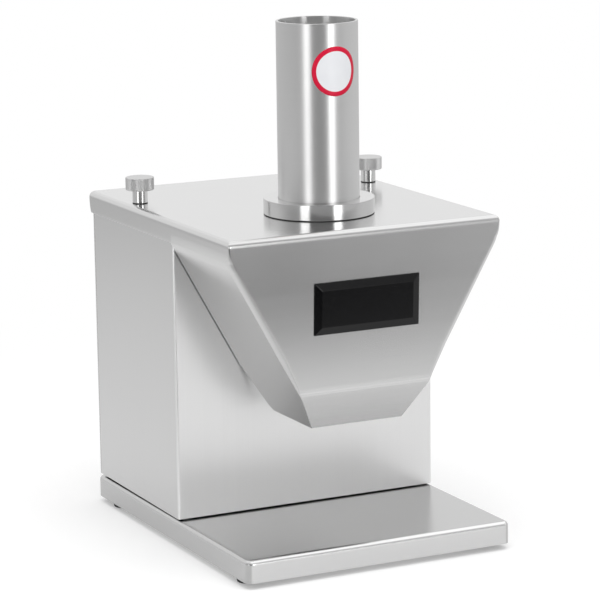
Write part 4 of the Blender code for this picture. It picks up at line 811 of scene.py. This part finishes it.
def hood_row(z, half, front_half, front, back, junction, corner, rear_corner):
    """One half of a row round the hood, from mid back to mid front; below the cover its rear is open."""
    if back is None:
        row = [None] * REAR_POINTS
    else:
        row = [(-x, back, z) for x in spread(0.0, half - rear_corner, FLAT_STEPS)[:-1]]
        for u, v in arc((half - rear_corner, 0.0), rear_corner, math.pi / 2, 0.0):
            row.append((-u, back - rear_corner + v, z))
        row.extend((-half, y, z) for y in spread(back - rear_corner, junction, FLAT_STEPS)[1:-1])
    for y in spread(junction, front + corner, FLAT_STEPS)[:-1]:
        share = min((junction - y) / FOLD_CHANGE, 1.0)
        width = half + (front_half - half) * share * share * (3 - 2 * share)
        row.append((-width, y, z))
    for u, v in arc((front_half - corner, 0.0), corner, 0.0, -math.pi / 2):
        row.append((-u, front + corner + v, z))
    for x in reversed(spread(0.0, front_half - corner, FLAT_STEPS)[:-1]):
        row.append((-x, front, z))
    return row


def mirrored_row(row):
    """The whole row from its left half."""
    other = [None if point is None else (-point[0], point[1], point[2]) for point in reversed(row[:-1])]
    return row + other[:-1] if row[0] is not None else row + other


def edge_radius_at(z, knee):
    """The hood's front edge is soft above the knee and crisp below it."""
    return LOWER_EDGE + (HOOD_EDGE - LOWER_EDGE) * clamped((z - knee) / HOOD_EDGE_FADE)


def bend_rows(half, front, back, junction, top):
    """Rows of the bend from the flat top into the skirt."""
    rows = []
    for step in range(ARC_STEPS + 1):
        turn = math.pi / 2 * (1 - step / ARC_STEPS)
        inset = COVER_BEND * (1 - math.cos(turn))
        z = top - COVER_BEND + COVER_BEND * math.sin(turn)
        front_y = hood_front_at(min(z, top), front, top) + inset
        front_corner = max(SKIRT_CORNER - inset, LEAST_CORNER)
        width = half - inset
        rows.append(mirrored_row(hood_row(
            z, width, width, front_y, back - inset, junction, front_corner, COVER_CORNER - inset,
        )))
    return rows


def hood_rows():
    """Rows of the hood's outer skin, from the flat top down to the outlet."""
    low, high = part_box("hood_shell")
    case_low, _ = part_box("body_case")
    half, top, outlet, front, back = high.x, high.z, low.z, low.y, high.y
    fold_z = top - SKIRT
    junction = case_low.y - HOOD_GAP
    skirt_end = fold_z + SKIRT_END
    rows = bend_rows(half, front, back, junction, top)
    for z in hood_heights(top, fold_z, outlet):
        width = hood_half_width_at(z, half, fold_z, REAR_FOLD_RADIUS)
        front_width = hood_half_width_at(z, half, fold_z, FOLD_RADIUS)
        share = clamped((fold_z - z) / SKIRT + 1.0) ** 3
        corner = SKIRT_CORNER + (edge_radius_at(z, top - FRONT_BEND_DROP) - SKIRT_CORNER) * share
        cover_back = back if z >= skirt_end - MERGE_DISTANCE else None
        rear_share = clamped((top - COVER_BEND - z) / (SKIRT - COVER_BEND))
        rear_corner = COVER_CORNER + (REAR_CORNER_LOW - COVER_CORNER) * rear_share**2
        rows.append(mirrored_row(hood_row(
            z, width, front_width, hood_front_at(z, front, top), cover_back,
            hood_rear_at(z, junction, outlet), corner, rear_corner,
        )))
    return rows


def make_hood(material, inner):
    """Cover with its skirt and slanted chute, folded from one sheet; its inner face takes a near-black
    steel as painted shade.
    """
    bm = skin(hood_rows(), caps=(0,))
    piece = new_piece("hood_sheet", bm, material, "hood", ["hood_shell"])
    # The inner face is steel darkened to near black: painted shade for the dark inside of the chute
    piece.data.materials.append(inner)
    thicken(piece, inner_slot=1)
    cut_hood_hole(piece, "feed_tube", TUBE_HOLE_AIR)
    for side in ("left", "right"):
        cut_hood_hole(piece, "cover_post_" + side, STUD_HOLE_AIR)
    smooth_faces(piece)


def cut_hood_hole(piece, node, air):
    """A round hole in the cover, for the tube or a stud."""
    _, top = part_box("hood_shell")
    heights = (top.z - HOLE_REACH, top.z + HOLE_REACH)
    bm = turned_block((0.0, radius_of(node) + air), heights, centre_of(node), SMALL_TURN_STEPS)
    cutter = new_object("hole", new_mesh("hole", bm))
    modifier = piece.modifiers.new("hole", "BOOLEAN")
    modifier.operation = "DIFFERENCE"
    modifier.solver = "EXACT"
    modifier.object = cutter
    apply_modifiers(piece)
    bpy.data.objects.remove(cutter, do_unlink=True)


def tray_row(low, high, inset, z, corner):
    """One closed row round the tray."""
    left, right = low.x + inset, high.x - inset
    front, back = low.y + inset, high.y - inset
    quarter = math.pi / 2
    outline = [(x, front) for x in spread(left + corner, right - corner, FLAT_STEPS)[:-1]]
    outline += arc((right - corner, front + corner), corner, -quarter, 0.0)
    outline += [(right, y) for y in spread(front + corner, back - corner, FLAT_STEPS)[1:-1]]
    outline += arc((right - corner, back - corner), corner, 0.0, quarter)
    outline += [(x, back) for x in spread(right - corner, left + corner, FLAT_STEPS)[1:-1]]
    outline += arc((left + corner, back - corner), corner, quarter, math.pi)
    outline += [(left, y) for y in spread(back - corner, front + corner, FLAT_STEPS)[1:-1]]
    outline += arc((left + corner, front + corner), corner, math.pi, 3 * quarter)[:-1]
    return [(x, y, z) for x, y in outline]


def make_tray(material):
    """Base tray with a rounded fold all round and soft corners."""
    low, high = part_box("base_tray")
    low.x -= TRAY_WIDER
    high.x += TRAY_WIDER
    high.y += TRAY_LONGER
    rows = []
    for z in (low.z, low.z + TRAY_RIM, high.z - TRAY_BEND - TRAY_RIM):
        rows.append(tray_row(low, high, 0.0, z, TRAY_CORNER))
    for step in range(ARC_STEPS + 1):
        turn = math.pi / 2 * step / ARC_STEPS
        inset = TRAY_BEND * (1 - math.cos(turn))
        z = high.z - TRAY_BEND + TRAY_BEND * math.sin(turn)
        rows.append(tray_row(low, high, inset, z, TRAY_CORNER - inset))
    rows.append(tray_row(low, high, TRAY_BEND + TRAY_TOP_INSET, high.z, TRAY_INNER_CORNER))
    bm = skin(rows, caps=(-1,))
    piece = new_piece("tray_sheet", bm, material, "frame", ["base_tray"])
    thicken(piece)
    smooth_faces(piece)


def case_row(low, high, z, drop):
    """One row round the case, from the left rear edge over the front to the right rear edge."""
    row = []
    for y in spread(high.y, low.y + CASE_CORNER, FLAT_STEPS)[:-1]:
        row.append((low.x, y, z - drop * (high.y - y) / (high.y - low.y)))
    bend = (low.x + CASE_CORNER, low.y + CASE_CORNER)
    for u, v in arc(bend, CASE_CORNER, math.pi, 1.5 * math.pi):
        row.append((u, v, z - drop))
    wall = spread(low.x + CASE_CORNER, -WINDOW_HALF_WIDTH, WALL_STEPS)[1:]
    window = spread(-WINDOW_HALF_WIDTH, 0.0, FLAT_STEPS)[1:]
    row.extend((x, low.y, z - drop) for x in wall + window)
    return row + [(-x, y, height) for x, y, height in reversed(row[:-1])]


def make_case(material):
    """Front and side walls folded from one sheet, open at the window where the slices fall out."""
    low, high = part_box("body_case")
    _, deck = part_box("blade_deck")
    sill = deck.z + WINDOW_SILL
    rows = [case_row(low, high, low.z, CASE_DROP)]
    for step in range(1, FLAT_STEPS + 1):
        rows.append(case_row(low, high, low.z + (sill - low.z) * step / FLAT_STEPS, 0.0))
    rim = case_row(low, high, high.z, 0.0)
    inside = WINDOW_HALF_WIDTH - MERGE_DISTANCE
    rows.append([None if abs(x) < inside and y == low.y else (x, y, z) for x, y, z in rim])
    bm = skin(rows, False)
    piece = new_piece("case_sheet", bm, material, "frame", ["body_case"])
    thicken(piece)
    add_bevel(piece, CASE_EDGE)
    smooth_faces(piece)


def make_tube(material, bore):
    """Feed tube with a softly broken rim."""
    low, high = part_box("feed_tube")
    outer = radius_of("feed_tube")
    inner = outer - TUBE_WALL
    centre = centre_of("tube_flange")
    bm = turned_block((inner, outer), (low.z, high.z), centre, TURN_STEPS, ALL_CORNERS, TURNED_EDGE)
    for face in bm.faces:
        middle = face.calc_center_median()
        reach = math.hypot(middle.x - centre[0], middle.y - centre[1])
        face.material_index = int(reach < inner + BORE_TEST)
    piece = new_piece("tube_turned", bm, material, "hood", ["feed_tube"])
    piece.data.materials.append(bore)
    smooth_faces(piece)


def seal_heights():
    """Bottom and top of the thin seals on the cover, and the bottom of what stands over them."""
    _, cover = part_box("hood_shell")
    seal_low = cover.z + SEAL_AIR
    return seal_low, seal_low + SEAL_THICKNESS, cover.z + SEAL_THICKNESS + 2 * SEAL_AIR


def make_seal(name, node, centre, bore, steps, rubber):
    """Thin dark ring that lies on the cover."""
    low, high, _ = seal_heights()
    broken = (OUTER_BOTTOM, OUTER_TOP)
    bm = turned_block((bore, radius_of(node)), (low, high), centre, steps, broken, SEAL_EDGE)
    smooth_faces(new_piece(name, bm, rubber, "hood", [node]))


def make_flange(material, rubber):
    """Flange ring and the gasket under it."""
    _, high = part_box("tube_flange")
    _, _, ring_low = seal_heights()
    centre = centre_of("tube_flange")
    bore = radius_of("feed_tube") + BORE_AIR
    span = (bore, radius_of("tube_flange"))
    broken = (OUTER_BOTTOM, OUTER_TOP, INNER_TOP)
    bm = turned_block(span, (ring_low, high.z), centre, TURN_STEPS, broken, TURNED_EDGE)
    smooth_faces(new_piece("flange_ring", bm, material, "hood", ["tube_flange"]))
    make_seal("gasket_ring", "flange_gasket", centre, bore, TURN_STEPS, rubber)


def knurled_row(radius, height, centre, depth):
    """A row of straight knurls: ridge and groove by turns."""
    steps = KNURLS * KNURL_STEPS
    row = []
    for step in range(steps):
        turn = math.tau * step / steps
        reach = radius - depth * (0.5 - 0.5 * math.cos(turn * KNURLS))
        row.append((centre[0] + reach * math.cos(turn), centre[1] + reach * math.sin(turn), height))
    return row


def make_thumb_nut(side, head_material, stem_material, rubber):
    """Knurled head on a polished stem, with a thin washer under it."""
    node = "thumb_nut_" + side
    _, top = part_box(node)
    centre = centre_of(node)
    head = radius_of(node)
    low, high, edge = top.z - NUT_HEAD, top.z, NUT_EDGE
    profile = (
        (NUT_BORE, low, 0.0), (head - 2 * edge, low, 0.0), (head - edge, low, 0.0),
        (head, low + edge, KNURL_DEPTH), (head, low + 2 * edge, KNURL_DEPTH),
        (head, high - 2 * edge, KNURL_DEPTH), (head, high - edge, KNURL_DEPTH),
        (head - edge, high - edge / 4, 0.0), (head - 2 * edge, high, 0.0), (head / 2, high, 0.0),
        (head / 8, high, 0.0),
    )
    rows = [knurled_row(radius, height, centre, depth) for radius, height, depth in profile]
    bm = skin(rows, caps=(0, -1))
    smooth_faces(new_piece("nut_head_" + side, bm, head_material, side + "_nut", [node]))
    _, _, stem_low = seal_heights()
    heights = (stem_low, low + STEM_OVERLAP)
    bm = turned_block((0.0, STEM_RADIUS), heights, centre, SMALL_TURN_STEPS, (OUTER_BOTTOM,), STEM_EDGE)
    smooth_faces(new_piece("nut_stem_" + side, bm, stem_material, side + "_nut", []))
    make_seal("washer_" + side, "nut_washer_" + side, centre, WASHER_BORE, SMALL_TURN_STEPS, rubber)


def make_feet(rubber):
    """Rubber feet with a rounded sole."""
    for corner in ("front_left", "front_right", "rear_left", "rear_right"):
        node = "foot_" + corner
        low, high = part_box(node)
        span = (0.0, radius_of(node) + FOOT_WIDER)
        heights = (low.z, high.z)
        bm = turned_block(span, heights, centre_of(node), SMALL_TURN_STEPS, (OUTER_BOTTOM,), FOOT_EDGE)
        smooth_faces(new_piece("rubber_foot_" + corner, bm, rubber, "frame", [node]))


def make_sticker(material):
    """A round sticker that lies on the tube's curve."""
    centre = centre_of("tube_flange")
    radius = radius_of("feed_tube") + STICKER_PROUD
    bm = bmesh.new()
    uv_layer = bm.loops.layers.uv.new("unrolled")
    flat = {}
    rows = []
    for ring_index in range(1, STICKER_RINGS + 1):
        reach = STICKER_RADIUS * ring_index / STICKER_RINGS
        row = []
        for across, up, _ in ring_of_points((0.0, 0.0), reach, 0.0, SMALL_TURN_STEPS):
            turn = STICKER_TURN + across / radius
            x = centre[0] + radius * math.cos(turn)
            y = centre[1] + radius * math.sin(turn)
            vert = bm.verts.new((x, y, STICKER_HEIGHT + up))
            flat[vert] = (0.5 + across / (2 * STICKER_RADIUS), 0.5 + up / (2 * STICKER_RADIUS))
            row.append(vert)
        rows.append(row)
    for first, second in zip(rows, rows[1:]):
        bridge(bm, first, second, True)
    bm.faces.new(rows[0])
    bmesh.ops.recalc_face_normals(bm, faces=bm.faces)
    for face in bm.faces:
        middle = face.calc_center_median()
        outward = middle - Vector((centre[0], centre[1], middle.z))
        if face.normal.dot(outward) < 0:
            face.normal_flip()
        for loop in face.loops:
            loop[uv_layer].uv = flat[loop.vert]
    piece = new_piece("round_sticker", bm, material, "hood", [])
    thicken(piece, STICKER_PROUD / 2, 1.0, False)
    piece.data.shade_smooth()


def make_name_plate(material):
    """Bare plate with wide bevels, lying on the leaning front of the hood."""
    low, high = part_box("name_plate")
    hood_low, hood_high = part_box("hood_shell")
    middle = (low.z + high.z) / 2
    upward = Vector((0.0, -math.sin(FRONT_LEAN), math.cos(FRONT_LEAN)))
    outward = Vector((0.0, -math.cos(FRONT_LEAN), -math.sin(FRONT_LEAN)))
    foot = Vector((0.0, hood_front_at(middle, hood_low.y, hood_high.z), middle)) + outward * PLATE_AIR
    half_width = (high.x - low.x) / 2
    half_height = (high.z - low.z) / 2 / math.cos(FRONT_LEAN) - PLATE_THICKNESS * math.tan(FRONT_LEAN)
    rows = []
    for inset, rise in ((0.0, 0.0), (0.0, PLATE_EDGE), (PLATE_BEVEL, PLATE_THICKNESS)):
        row = []
        for across, up in ((-1, -1), (1, -1), (1, 1), (-1, 1)):
            point = foot + outward * rise + upward * up * (half_height - inset)
            point.x = across * (half_width - inset)
            row.append(point)
        rows.append(row)
    bm = skin(rows, caps=(0, -1))
    piece = new_piece("bare_plate", bm, material, "hood", ["name_plate"])
    add_bevel(piece, PLATE_SOFTENING, PLATE_EDGE_ANGLE)
    smooth_faces(piece, PLATE_EDGE_ANGLE)


def direction(azimuth, elevation):
    """A direction from the machine: azimuth 0 is its front, and positive turns to its right side."""
    reach = math.cos(elevation)
    return Vector((math.sin(azimuth) * reach, -math.cos(azimuth) * reach, math.sin(elevation)))


def direction_at(azimuth_degrees, elevation_degrees):
    """A direction turned from the camera's own; positive turns to the camera's right."""
    return direction(CAMERA_AZIMUTH + math.radians(azimuth_degrees), math.radians(elevation_degrees))


def make_camera():
    """The photograph's camera."""
    back = direction(CAMERA_AZIMUTH, CAMERA_ELEVATION)
    right = Vector((math.cos(CAMERA_AZIMUTH), math.sin(CAMERA_AZIMUTH), 0.0))
    up = back.cross(right)
    place = CAMERA_AIM + back * CAMERA_DISTANCE + right * CAMERA_RIGHT + up * CAMERA_UP
    rolled_right = right * math.cos(CAMERA_ROLL) + up * math.sin(CAMERA_ROLL)
    rolled_up = up * math.cos(CAMERA_ROLL) - right * math.sin(CAMERA_ROLL)
    turn = Matrix((rolled_right, rolled_up, back)).transposed()
    data = bpy.data.cameras.new("photo_camera")
    data.lens = CAMERA_LENS
    data.sensor_width = CAMERA_SENSOR
    data.sensor_fit = "HORIZONTAL"
    data.clip_start, data.clip_end = CAMERA_CLIP
    camera = new_object("photo_camera", data)
    camera.matrix_world = Matrix.Translation(place) @ turn.to_4x4()
    bpy.context.scene.camera = camera


def make_lamp(name, azimuth, elevation, distance, width, height, power):
    """A soft box that looks at the machine."""
    data = bpy.data.lights.new(name, "AREA")
    data.shape = "RECTANGLE"
    data.size = width
    data.size_y = height
    data.energy = power
    lamp = new_object(name, data)
    toward = direction_at(azimuth, elevation)
    lamp.location = LAMP_AIM + toward * distance
    lamp.rotation_mode = "QUATERNION"
    lamp.rotation_quaternion = toward.to_track_quat("Z", "Y")
    lamp.visible_camera = False
    lamp.visible_glossy = False


def make_world():
    """White studio; in the steel it shows two upright soft boxes and dimmer walls round them."""
    world = bpy.data.worlds.new("studio")
    world.use_nodes = True
    tree = world.node_tree
    tree.nodes.clear()
    shader = Shader(tree)
    seen, mirrored = shader.rays()
    x, y, z = shader.parts_of(shader.node("ShaderNodeTexCoord")["Generated"])
    front = direction_at(0.0, 0.0)
    right = direction_at(90.0, 0.0)
    toward = x * front.x + y * front.y
    rightward = x * right.x + y * right.y
    azimuth = rightward.maths("ARCTAN2", toward) * math.degrees(1.0)
    upright = z.band(*BOX_HEIGHT)
    low = LOW_LIGHT + rightward * LOW_RIGHT_GAIN + (0 - toward).smooth(*BEHIND_EDGE) * LOW_BACK_GAIN
    high = BACK_LIGHT - toward.smooth(*FRONT_EDGE) * BACK_TO_FRONT_LOSS
    dark = BETWEEN_LIGHT + z.band(*BETWEEN_GLOW) * BETWEEN_GAIN
    level = low.blended(high, z.smooth(*HORIZON))
    level = level.blended(dark, azimuth.band(*BETWEEN) * (1 - z.smooth(*BETWEEN_END)))
    level = level.blended(LEFT_BOX_LIGHT, azimuth.band(*LEFT_BOX) * upright)
    level = level.blended(RIGHT_BOX_LIGHT, azimuth.band(*RIGHT_BOX) * upright)
    level = level.blended(TOP_LIGHT, z.smooth(*TOP_EDGE))
    level = level.blended(OVERHEAD_LIGHT, z.smooth(*OVERHEAD_EDGE))
    strength = seen + (1 - seen) * (mirrored * level + (1 - mirrored) * FILL_LIGHT)
    background = shader.node("ShaderNodeBackground", {}, {"Color": WHITE, "Strength": strength})
    shader.node("ShaderNodeOutputWorld", {}, {"Surface": background["Background"]})
    bpy.context.scene.world = world


def make_floor():
    """Pale floor that keeps the shadow and fades into the white studio."""
    rows = [ring_of_points((0.0, 0.0), reach, 0.0, TURN_STEPS) for reach in FLOOR_REACHES]
    bm = skin(rows, caps=(0,))
    floor = new_object("studio_floor", new_mesh("studio_floor", bm))
    floor.data.materials.append(floor_material())


def floor_material():
    """White floor; further out it is only a glow, white to the camera and dimmer in the steel."""
    material, shader = start_material("pale_floor")
    place = shader.place()
    x, y, _ = shader.parts_of(place)
    reach = (x * x + y * y) ** 0.5
    frontward = 0 - y
    seen, mirrored = shader.rays()
    grain = shader.noise(place, FLOOR_GRAIN)
    close_front = frontward.band(*CLOSE_FRONT)
    lift = seen * FLOOR_LIFT + mirrored * (1 - close_front) * FLOOR_MIRROR_LIFT
    darker, lighter = FLOOR_GREYS
    shader.surface({
        "Base Color": shader.colour(grain, grey(darker), grey(lighter)),
        "Roughness": 0.9,
        "Specular IOR Level": 0.0,
        "Emission Color": shader.joined(lift, lift, lift),
        "Emission Strength": 1.0,
    })
    left_front = frontward.smooth(*LEFT_FRONT) * (1 - x.smooth(*LEFT_END))
    loss = left_front * FLOOR_LEFT_LOSS + close_front * FLOOR_NEAR_LOSS
    dimmed = (FLOOR_NEAR - reach.smooth(*FALL_REACH) * FLOOR_FALL) * (1 - loss)
    kept = FLOOR_FRONT_KEPT + x.smooth(*FAR_RIGHT) * FLOOR_FRONT_RIGHT_GAIN
    strength = seen + mirrored * dimmed * (1 - frontward.smooth(*FAR_FRONT) * (1 - kept))
    glow = shader.node("ShaderNodeEmission", {}, {"Color": WHITE, "Strength": strength})["Emission"]
    share = seen * reach.smooth(*SEEN_GLOW_REACH) + mirrored * reach.smooth(*MIRROR_GLOW_REACH)
    nodes = material.node_tree.nodes
    matt = Value(shader, nodes["Principled BSDF"].outputs["BSDF"])
    mixed = shader.node("ShaderNodeMixShader", {}, {0: share, 1: matt, 2: glow})["Shader"]
    shader.fill(nodes["Material Output"].inputs["Surface"], mixed)
    return material


def joined_faces():
    """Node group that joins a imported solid's triangles and keeps only its real edges sharp."""
    group = bpy.data.node_groups.new("joined_faces", "GeometryNodeTree")
    for way in ("INPUT", "OUTPUT"):
        group.interface.new_socket("Geometry", in_out=way, socket_type="NodeSocketGeometry")
    maker = Shader(group)
    solid = maker.node("NodeGroupInput")["Geometry"]
    angle = maker.node("GeometryNodeInputMeshEdgeAngle")["Unsigned Angle"]
    steps = (
        ("GeometryNodeMergeByDistance", {}, {"Distance": MERGE_DISTANCE}),
        ("GeometryNodeRemoveAttribute", {}, {"Name": "custom_normal"}),
        ("GeometryNodeSetShadeSmooth", {"domain": "FACE"}, {"Shade Smooth": True}),
        ("GeometryNodeSetShadeSmooth", {"domain": "EDGE"}, {"Shade Smooth": angle < SMOOTH_ANGLE}),
    )
    for kind, settings, values in steps:
        solid = maker.node(kind, settings, {"Geometry": solid, **values})["Geometry"]
    maker.node("NodeGroupOutput", {}, {"Geometry": solid})
    return group


def dress_nodes(frame, materials):
    """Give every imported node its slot's material and softened edges."""
    slot_of = {part["node"]: part["material_slot"] for part in frame["record"]["subparts"]}
    group = joined_faces()
    for name, node in frame["nodes"].items():
        node.data.materials.clear()
        node.data.materials.append(materials[slot_of[name]])
        joined = node.modifiers.new("joined", "NODES")
        joined.node_group = group
        add_bevel(node, NODE_EDGE)
        add_even_normals(node)


def make_steel_pieces(rubber):
    """The folded sheets, the tube with its ring, and the nuts, each in its own steel."""
    tube_centre = centre_of("tube_flange")
    # The three tones after the roughness are painted shade on the sides, painted shade on the top and a
    # painted highlight on the upright bends
    hood_steel = sheet_steel("steel_hood", "X", "Z", 0.67, 0.2, (0.93, 1.0, 1.0))
    tray_steel = sheet_steel("steel_tray", "X", "Z", 0.78, 0.22, (0.72, 0.68, 1.0), TRAY_SIDE_FACE)
    case_steel = sheet_steel("steel_case", "Z", "Z", 0.81, 0.31, (0.80, 1.0, 1.12))
    tube_steel = turned_steel("steel_tube", tube_centre, 0.65, 0.33)
    bore_steel = turned_steel("steel_tube_bore", tube_centre, 0.72, 0.3, smear=1.0)
    ring_steel = turned_steel("steel_ring", tube_centre, 0.61, 0.16)
    # Near-black steel on the hood's inner face: painted shade inside the chute
    make_hood(hood_steel, plain_metal("steel_inner_face", (0.10, 0.10, 0.10), 0.4, 500.0, 6.0))
    make_tray(tray_steel)
    make_case(case_steel)
    make_tube(tube_steel, bore_steel)
    make_flange(ring_steel, rubber)
    for side in ("left", "right"):
        centre = centre_of("thumb_nut_" + side)
        head_steel = turned_steel("steel_nut_head_" + side, centre, 0.61, 0.46, 4.0, 0.0)
        stem_steel = turned_steel("steel_nut_stem_" + side, centre, 0.70, 0.14)
        make_thumb_nut(side, head_steel, stem_steel, rubber)


def main():
    """Dress the machine and set the stage."""
    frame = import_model()
    bpy.context.scene.view_settings.view_transform = "Standard"
    make_camera()
    materials = slot_materials()
    dress_nodes(frame, materials)
    make_steel_pieces(materials["black_rubber"])
    make_feet(materials["black_rubber"])
    make_sticker(sticker_print("sticker_white_red"))
    make_name_plate(materials["black_gloss"])
    make_world()
    make_floor()
    for lamp in LAMPS:
        make_lamp(*lamp)


main()
